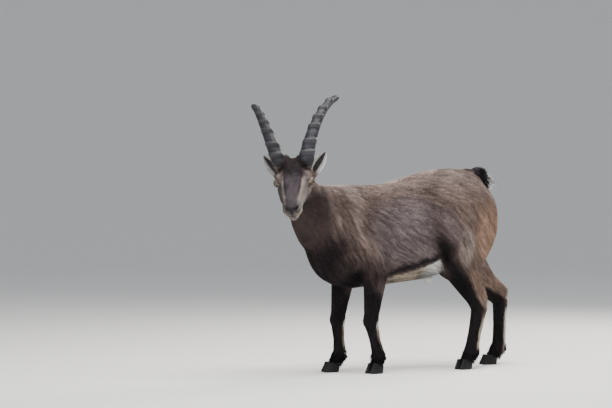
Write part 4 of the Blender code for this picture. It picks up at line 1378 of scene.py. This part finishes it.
def lockPlaces():
    rows = []
    for label, (place, reach, way, *sizes, count, colour) in locks.items():
        if label == "hornCollars":
            turn = headFrame.to_3x3()
            for side in sides.values():
                rows.append((headFrame @ mirrored(place, side), reach, turn @ mirrored(way, side),
                             sizes, count, colour))
        elif label == "sheath":
            rows.append((homeShift + Vector(place), reach, Vector(way), sizes, count, colour))
        else:
            for name, joints in legJoints.items():
                foot = "hoof_" + name.replace("leg_", "_")
                spot = homeShift + Vector((joints[-1][0], 0, joints[-1][1])) + Vector(place)
                spot.y = (boxCentre(foot + "_inner").y + boxCentre(foot + "_outer").y) / 2
                rows.append((spot, reach, Vector(way), sizes, count, colour))
    return rows


def addLocks(draw, tree):
    parts = []
    for place, reach, way, (length, width, depth), count, colour in lockPlaces():
        away = distance(skinPoints, place)
        nearest = np.argsort(away)[:max(lockLeast, np.count_nonzero(away < reach))]
        chosen = nearest[draw.integers(0, len(nearest), count)]
        roots = skinPoints[chosen] + draw.normal(0, 0.0012, (count, 3))
        normals = skinNormals[chosen]
        ways = unit(unit(np.array(way))[None] + 0.10 * normals + draw.normal(0, 0.12, (count, 3)))
        colours = plain(colour, count) if colour else markings(roots, normals)
        parts.append((roots, normals, ways, np.tile((depth, length, width, 0.0), (count, 1)), colours))
    tables = [np.concatenate(table) for table in zip(*parts)]
    keep = ~hornOver(tables[0])
    roots, normals, ways, sizes, colours = (table[keep] for table in tables)
    free = np.full(len(roots), lockFreedom)
    return tuftMesh("coat_locks", roots, normals, ways, sizes, colours, unwrapped(roots, "trunk"),
                    free, draw, tree)


def addCoat():
    draw = np.random.default_rng(17)
    tree = BVHTree.FromPolygons([tuple(p) for p in skinPoints],
                                [tuple(face.vertices) for face in skin.data.polygons])
    roots, normals = sampleRoots(draw)
    keep = ~isBare(roots)
    roots, normals = roots[keep], normals[keep]
    sizes = coatSizes(roots)
    ways = lieOf(roots, normals)
    head, local = headShareOf(roots), inHead(roots)
    streakDepth = 1.10 - 0.65 * ramp(head, 0.2, 0.8)
    colours = markings(roots, normals) * (1 + streaks(roots, ways) * streakDepth)[:, None]
    # whorls: wider on the poll, quieter on the ears
    swirl = (softNoise(roots, 0.055, 3) - 0.5) * 0.9 + (softNoise(roots, 0.016, 4) - 0.5) * 0.7
    poll = head * ramp(local[:, 0], 0.04, 0.0) * ramp(local[:, 2], 0.01, 0.035)
    swirl = swirl * (1 + 1.6 * poll) * (1 - 0.6 * earShareOf(roots))
    ways = turned(ways, normals, swirl)
    region = regionOf(roots, sizes[:, 1])
    made = []
    for k, label in enumerate(regionNames):
        members = np.flatnonzero(region == k)
        members = members[np.argsort(roots[members, 0], kind="stable")]
        faces = 4 if label in shortRegions else 10
        parts = max(1, math.ceil(len(members) * faces / tuftShape["piece"]))
        for part, chosen in enumerate(np.array_split(members, parts)):
            name = f"coat_{label}" + (f"_{part + 1}" if parts > 1 else "")
            table = (values[chosen] for values in (roots, normals, ways, sizes, colours))
            made.append(tuftMesh(name, *table, unwrapped(roots[chosen], label),
                                 tailShareOf(roots[chosen]), draw, tree))
    return made + [addLocks(draw, tree)]


coatPieces = addCoat()

# Finishes

print("stage: finishes")


def paintedMaterial(name, attribute, roughness, specular, grain, bump, amount=0.25):
    # the painted colour with a fine grain over it, and a shallow relief of the same grain
    made = bpy.data.materials.new(name)
    made.use_nodes = True
    tree = made.node_tree
    shader = tree.nodes["Principled BSDF"]
    shader.inputs["Roughness"].default_value = roughness
    shader.inputs["Specular IOR Level"].default_value = specular
    colour = tree.nodes.new("ShaderNodeAttribute")
    colour.attribute_name = attribute
    places = tree.nodes.new("ShaderNodeTexCoord")
    noise = tree.nodes.new("ShaderNodeTexNoise")
    noise.inputs["Scale"].default_value = grain
    noise.inputs["Detail"].default_value = 3
    tree.links.new(places.outputs["Object"], noise.inputs["Vector"])
    spread = tree.nodes.new("ShaderNodeMapRange")
    spread.inputs["To Min"].default_value = 1 - amount
    spread.inputs["To Max"].default_value = 1 + amount
    tree.links.new(noise.outputs["Fac"], spread.inputs["Value"])
    mixed = tree.nodes.new("ShaderNodeVectorMath")
    mixed.operation = "SCALE"
    tree.links.new(colour.outputs["Color"], mixed.inputs[0])
    tree.links.new(spread.outputs["Result"], mixed.inputs["Scale"])
    tree.links.new(mixed.outputs["Vector"], shader.inputs["Base Color"])
    relief = tree.nodes.new("ShaderNodeBump")
    relief.inputs["Strength"].default_value = bump
    relief.inputs["Distance"].default_value = 0.0006
    tree.links.new(noise.outputs["Fac"], relief.inputs["Height"])
    tree.links.new(relief.outputs["Normal"], shader.inputs["Normal"])
    return made


coatFinish = paintedMaterial("coatHair", "coatColour", 0.62, 0.09, 260, 0.2)
skinFinish = paintedMaterial("underCoat", "coatColour", 0.60, 0.25, 900, 0.7)
skin.data.materials.clear()
skin.data.materials.append(skinFinish)
for piece in coatPieces:
    piece.data.materials.append(coatFinish)
    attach(piece, "root")

# Horns: rings of growth, knobs on the front

print("stage: horns")


def hornProfile(t):
    if t < 0.9:
        return 1.0 - 0.60 * t / 0.9
    return 0.40 * math.sqrt(max(0.0, 1.0 - ((t - 0.9) / 0.1) ** 2)) * 0.85 + 0.06


def powerCurve(value, power):
    return math.copysign(abs(value) ** (2 / power), value)


def linearRamp(value, start, end):
    return max(0.0, min(1.0, (value - start) / (end - start)))


def hornAxes(t, word):
    # the middle of the horn at t, and the ways to its front and its outer side
    length, spread, flare = (horn[key][word] for key in ("length", "spread", "flare"))
    start, turn = math.radians(horn["startDegrees"]), math.radians(horn["turnDegrees"])
    radius, angle = length / turn, start + turn * t
    x, y, z = horn["root"]
    centre = Vector((x + radius * (math.sin(angle) - math.sin(start)),
                     y + spread * max(0.0, t) ** flare,
                     z + radius * (math.cos(start) - math.cos(angle))))
    front = Vector((math.sin(angle), 0.25, -math.cos(angle))).normalized()
    out = Vector((-0.20 * math.sin(angle), 1.0, 0.20 * math.cos(angle))).normalized()
    return centre, front, out


def hornKnobs(t, length):
    # how far up a knob this is, and how deep in the grooves before and behind it
    knob, groove = 0.0, 0.0
    for place in horn["knobs"]:
        away = (t - place) * length / horn["knobLength"]
        knob += math.exp(-((2.2 * away) ** 2) * (1.6 if away > 0 else 0.8))
        groove += math.exp(-(((away - 0.52) / 0.15) ** 2)) + 0.6 * math.exp(-(((away + 0.75) / 0.10) ** 2))
    return knob, groove


def hornTone(t, word, growth, ridge, groove, ripple):
    base, pale, dark = (np.array(paint[name]) for name in ("hornGrey", "hornPale", "hornDark"))
    # painted shade: the right horn is darker all over by its share in horn light
    tone = base * (0.55 + 0.9 * growth) * horn["light"][word]
    tone = blend(tone, pale * horn["light"][word], 0.6 * ridge)
    # painted shadow: darker in the grooves beside each knob and in the troughs of the fine ripples
    tone = blend(tone, dark, min(1.0, 1.1 * groove + 0.25 * (ripple < 0)))
    tone = blend(tone, dark, 0.5 * linearRamp(t, 0.75, 1.0))
    return blend(tone, dark, 0.6 * linearRamp(t, 0.07, 0.02))


def addHorn(word):
    side, rings, length = sides[word], horn["rings"], horn["length"][word]
    piece, level, around = tubeOver(rings, horn["sides"], "horn_" + word + "_grown")
    draw = np.random.default_rng(31 + side)
    lines = np.interp(np.linspace(0, 1, rings), np.linspace(0, 1, 60), draw.random(60))
    points = readPoints(piece.data)
    colours = np.empty_like(points)
    for k in range(len(points)):
        t = (1.0 + horn["sunk"]) * level[k] / (rings - 1) - horn["sunk"]
        growth = lines[level[k]]
        centre, front, out = hornAxes(t, word)
        knob, groove = hornKnobs(t, length)
        ahead, across = math.cos(around[k]), math.sin(around[k])
        size = hornProfile(t) * (1 - 0.55 * linearRamp(t, 0.03, -0.06) ** 2)
        ripple = math.sin(t * length / horn["rippleLength"] + 5 * growth) * (0.3 + growth)
        fade = min(1.0, size * 1.6) * linearRamp(t, 0.97, 0.89)
        power = 2.7 if ahead > 0 else 1.9
        lift = horn["knobHeight"] * knob * fade * max(0.0, ahead + 0.35)
        inward = lift * (0.9 * min(0.0, across) + 0.2 * max(0.0, across))
        shallow = (horn["ripple"] * ripple - horn["groove"] * groove) * fade
        deep = horn["halfDepth"] * size * powerCurve(ahead, power) + lift + shallow * ahead
        wide = horn["halfWidth"] * size * powerCurve(across, power) + inward + shallow * across
        points[k] = headFrame @ mirrored(centre + front * deep + out * wide, side)
        ridge = min(1.0, knob) * (0.4 + 0.6 * max(0.0, ahead))
        colours[k] = hornTone(t, word, growth, ridge, groove, ripple)
    writePoints(piece.data, points)
    pointOutwards(piece)
    bpy.ops.object.shade_smooth()
    writeColours(piece.data, colours, "hornColour")
    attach(piece, "root")
    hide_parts("horn_" + word)
    return piece


hornFinish = paintedMaterial("hornKeratin", "hornColour", 0.55, 0.30, 420, 0.5, 0.45)
for word in sides:
    addHorn(word).data.materials.append(hornFinish)

# Eyes: amber iris, level slit, clear bulging front

print("stage: eyes")

eyePaint = {
    "white": (0.020, 0.012, 0.009),
    "edge": (0.020, 0.010, 0.005),
    "amber": (0.235, 0.150, 0.050),
    "inner": (0.120, 0.070, 0.022),
    "pupil": (0.002, 0.002, 0.003),
}


def addEye(word):
    side = sides[word]
    bpy.ops.object.select_all(action="DESELECT")
    bpy.ops.mesh.primitive_uv_sphere_add(segments=96, ring_count=64, radius=eye["radius"])
    piece = bpy.context.active_object
    piece.name = f"eye_{word}_ball"
    local = readPoints(piece.data)
    off = np.hypot(local[:, 0], local[:, 1])
    ahead = local[:, 2] > 0
    local[:, 2] += eye["corneaBulge"] * hump(off, 0, eye["corneaRadius"]) * ahead
    share = off / eye["irisRadius"]
    around = np.arctan2(local[:, 1], local[:, 0])
    spokes = 0.5 + 0.5 * np.sin(around * 37 + 3 * np.sin(around * 11))
    # the slit is half a box and half an oval
    long, high = np.abs(local[:, 0]) / eye["slitLength"], np.abs(local[:, 1]) / eye["slitHeight"]
    slit = np.maximum(long, high) * 0.5 + np.hypot(long, high) * 0.5
    tone = painted(np.array(eyePaint["amber"])[None] * (0.75 + 0.4 * spokes)[:, None], (
        ("inner", ramp(share, 0.65, 0.35)),
        ("edge", ramp(share, 0.75, 0.95)),
        ("white", np.maximum(ramp(share, 0.98, 1.04), ~ahead)),
        ("pupil", ramp(slit, 1.15, 0.9) * ahead),
    ), eyePaint)
    axis, level, upright = (mirrored(way, side) for way in eyeAxes())
    axes = Matrix((level, upright, axis)).transposed().to_4x4()
    turn = headFrame @ Matrix.Translation(mirrored(eye["centre"], side)) @ axes
    writePoints(piece.data, transformed(turn, local))
    pointOutwards(piece)
    bpy.ops.object.shade_smooth()
    writeColours(piece.data, tone, "eyeColour")
    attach(piece, "root")
    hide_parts("eye_" + word)
    return piece


eyeFinish = paintedMaterial("eyeGloss", "eyeColour", 0.12, 0.25, 900, 0.0, 0.1)
eyeShader = eyeFinish.node_tree.nodes["Principled BSDF"]
eyeShader.inputs["Coat Weight"].default_value = 0.22
eyeShader.inputs["Coat Roughness"].default_value = 0.03
for word in sides:
    addEye(word).data.materials.append(eyeFinish)

# Hooves and dewclaws: the CAD shapes with rounded edges and growth lines

print("stage: hooves")

hoof = {
    "low": (0.011, 0.010, 0.011),
    "high": (0.005, 0.0045, 0.005),
    "voxel": 0.0013,
    "rounds": 26,
    "rise": 0.004,
    "lineHeight": 0.00016,
    "lineLength": 0.0007,
}


def addHoof(node):
    piece = fleshCopy(node, 0)
    piece.name = piece.data.name = node + "_horn"
    applyModifier(piece, "REMESH", mode="VOXEL", voxel_size=hoof["voxel"])
    points, edges = readPoints(piece.data), readEdges(piece.data)
    floor = points[:, 2].min()
    points = relaxed(points, edges, np.ones(len(points)), hoof["rounds"])
    if node.startswith("hoof"):
        points[:, 2] += hoof["rise"] * ramp(points[:, 2], 0.028, 0.040)
    line = hoof["lineHeight"] * np.sin(points[:, 2] / hoof["lineLength"] + 3 * softNoise(points, 0.01))
    writePoints(piece.data, points)
    points += readNormals(piece.data) * (line * ramp(points[:, 2], 0.003, 0.008))[:, None]
    points[:, 2] = np.maximum(points[:, 2], floor)
    writePoints(piece.data, points)
    share = ramp(points[:, 2], 0.004, 0.035)[:, None]
    tone = blend(np.array(hoof["low"])[None], np.array(hoof["high"])[None], share)
    tone = tone * (0.7 + 0.6 * softNoise(points, 0.006, 2))[:, None]
    activate(piece)
    bpy.ops.object.shade_smooth()
    writeColours(piece.data, tone, "hoofColour")
    piece.data.materials.clear()
    piece.data.materials.append(hoofFinish)
    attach(piece, "root")
    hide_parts(node)


hoofFinish = paintedMaterial("hoofHorn", "hoofColour", 0.60, 0.25, 500, 0.5)
for node in sorted(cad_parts):
    if node.startswith(("hoof", "dewclaw")):
        addHoof(node)
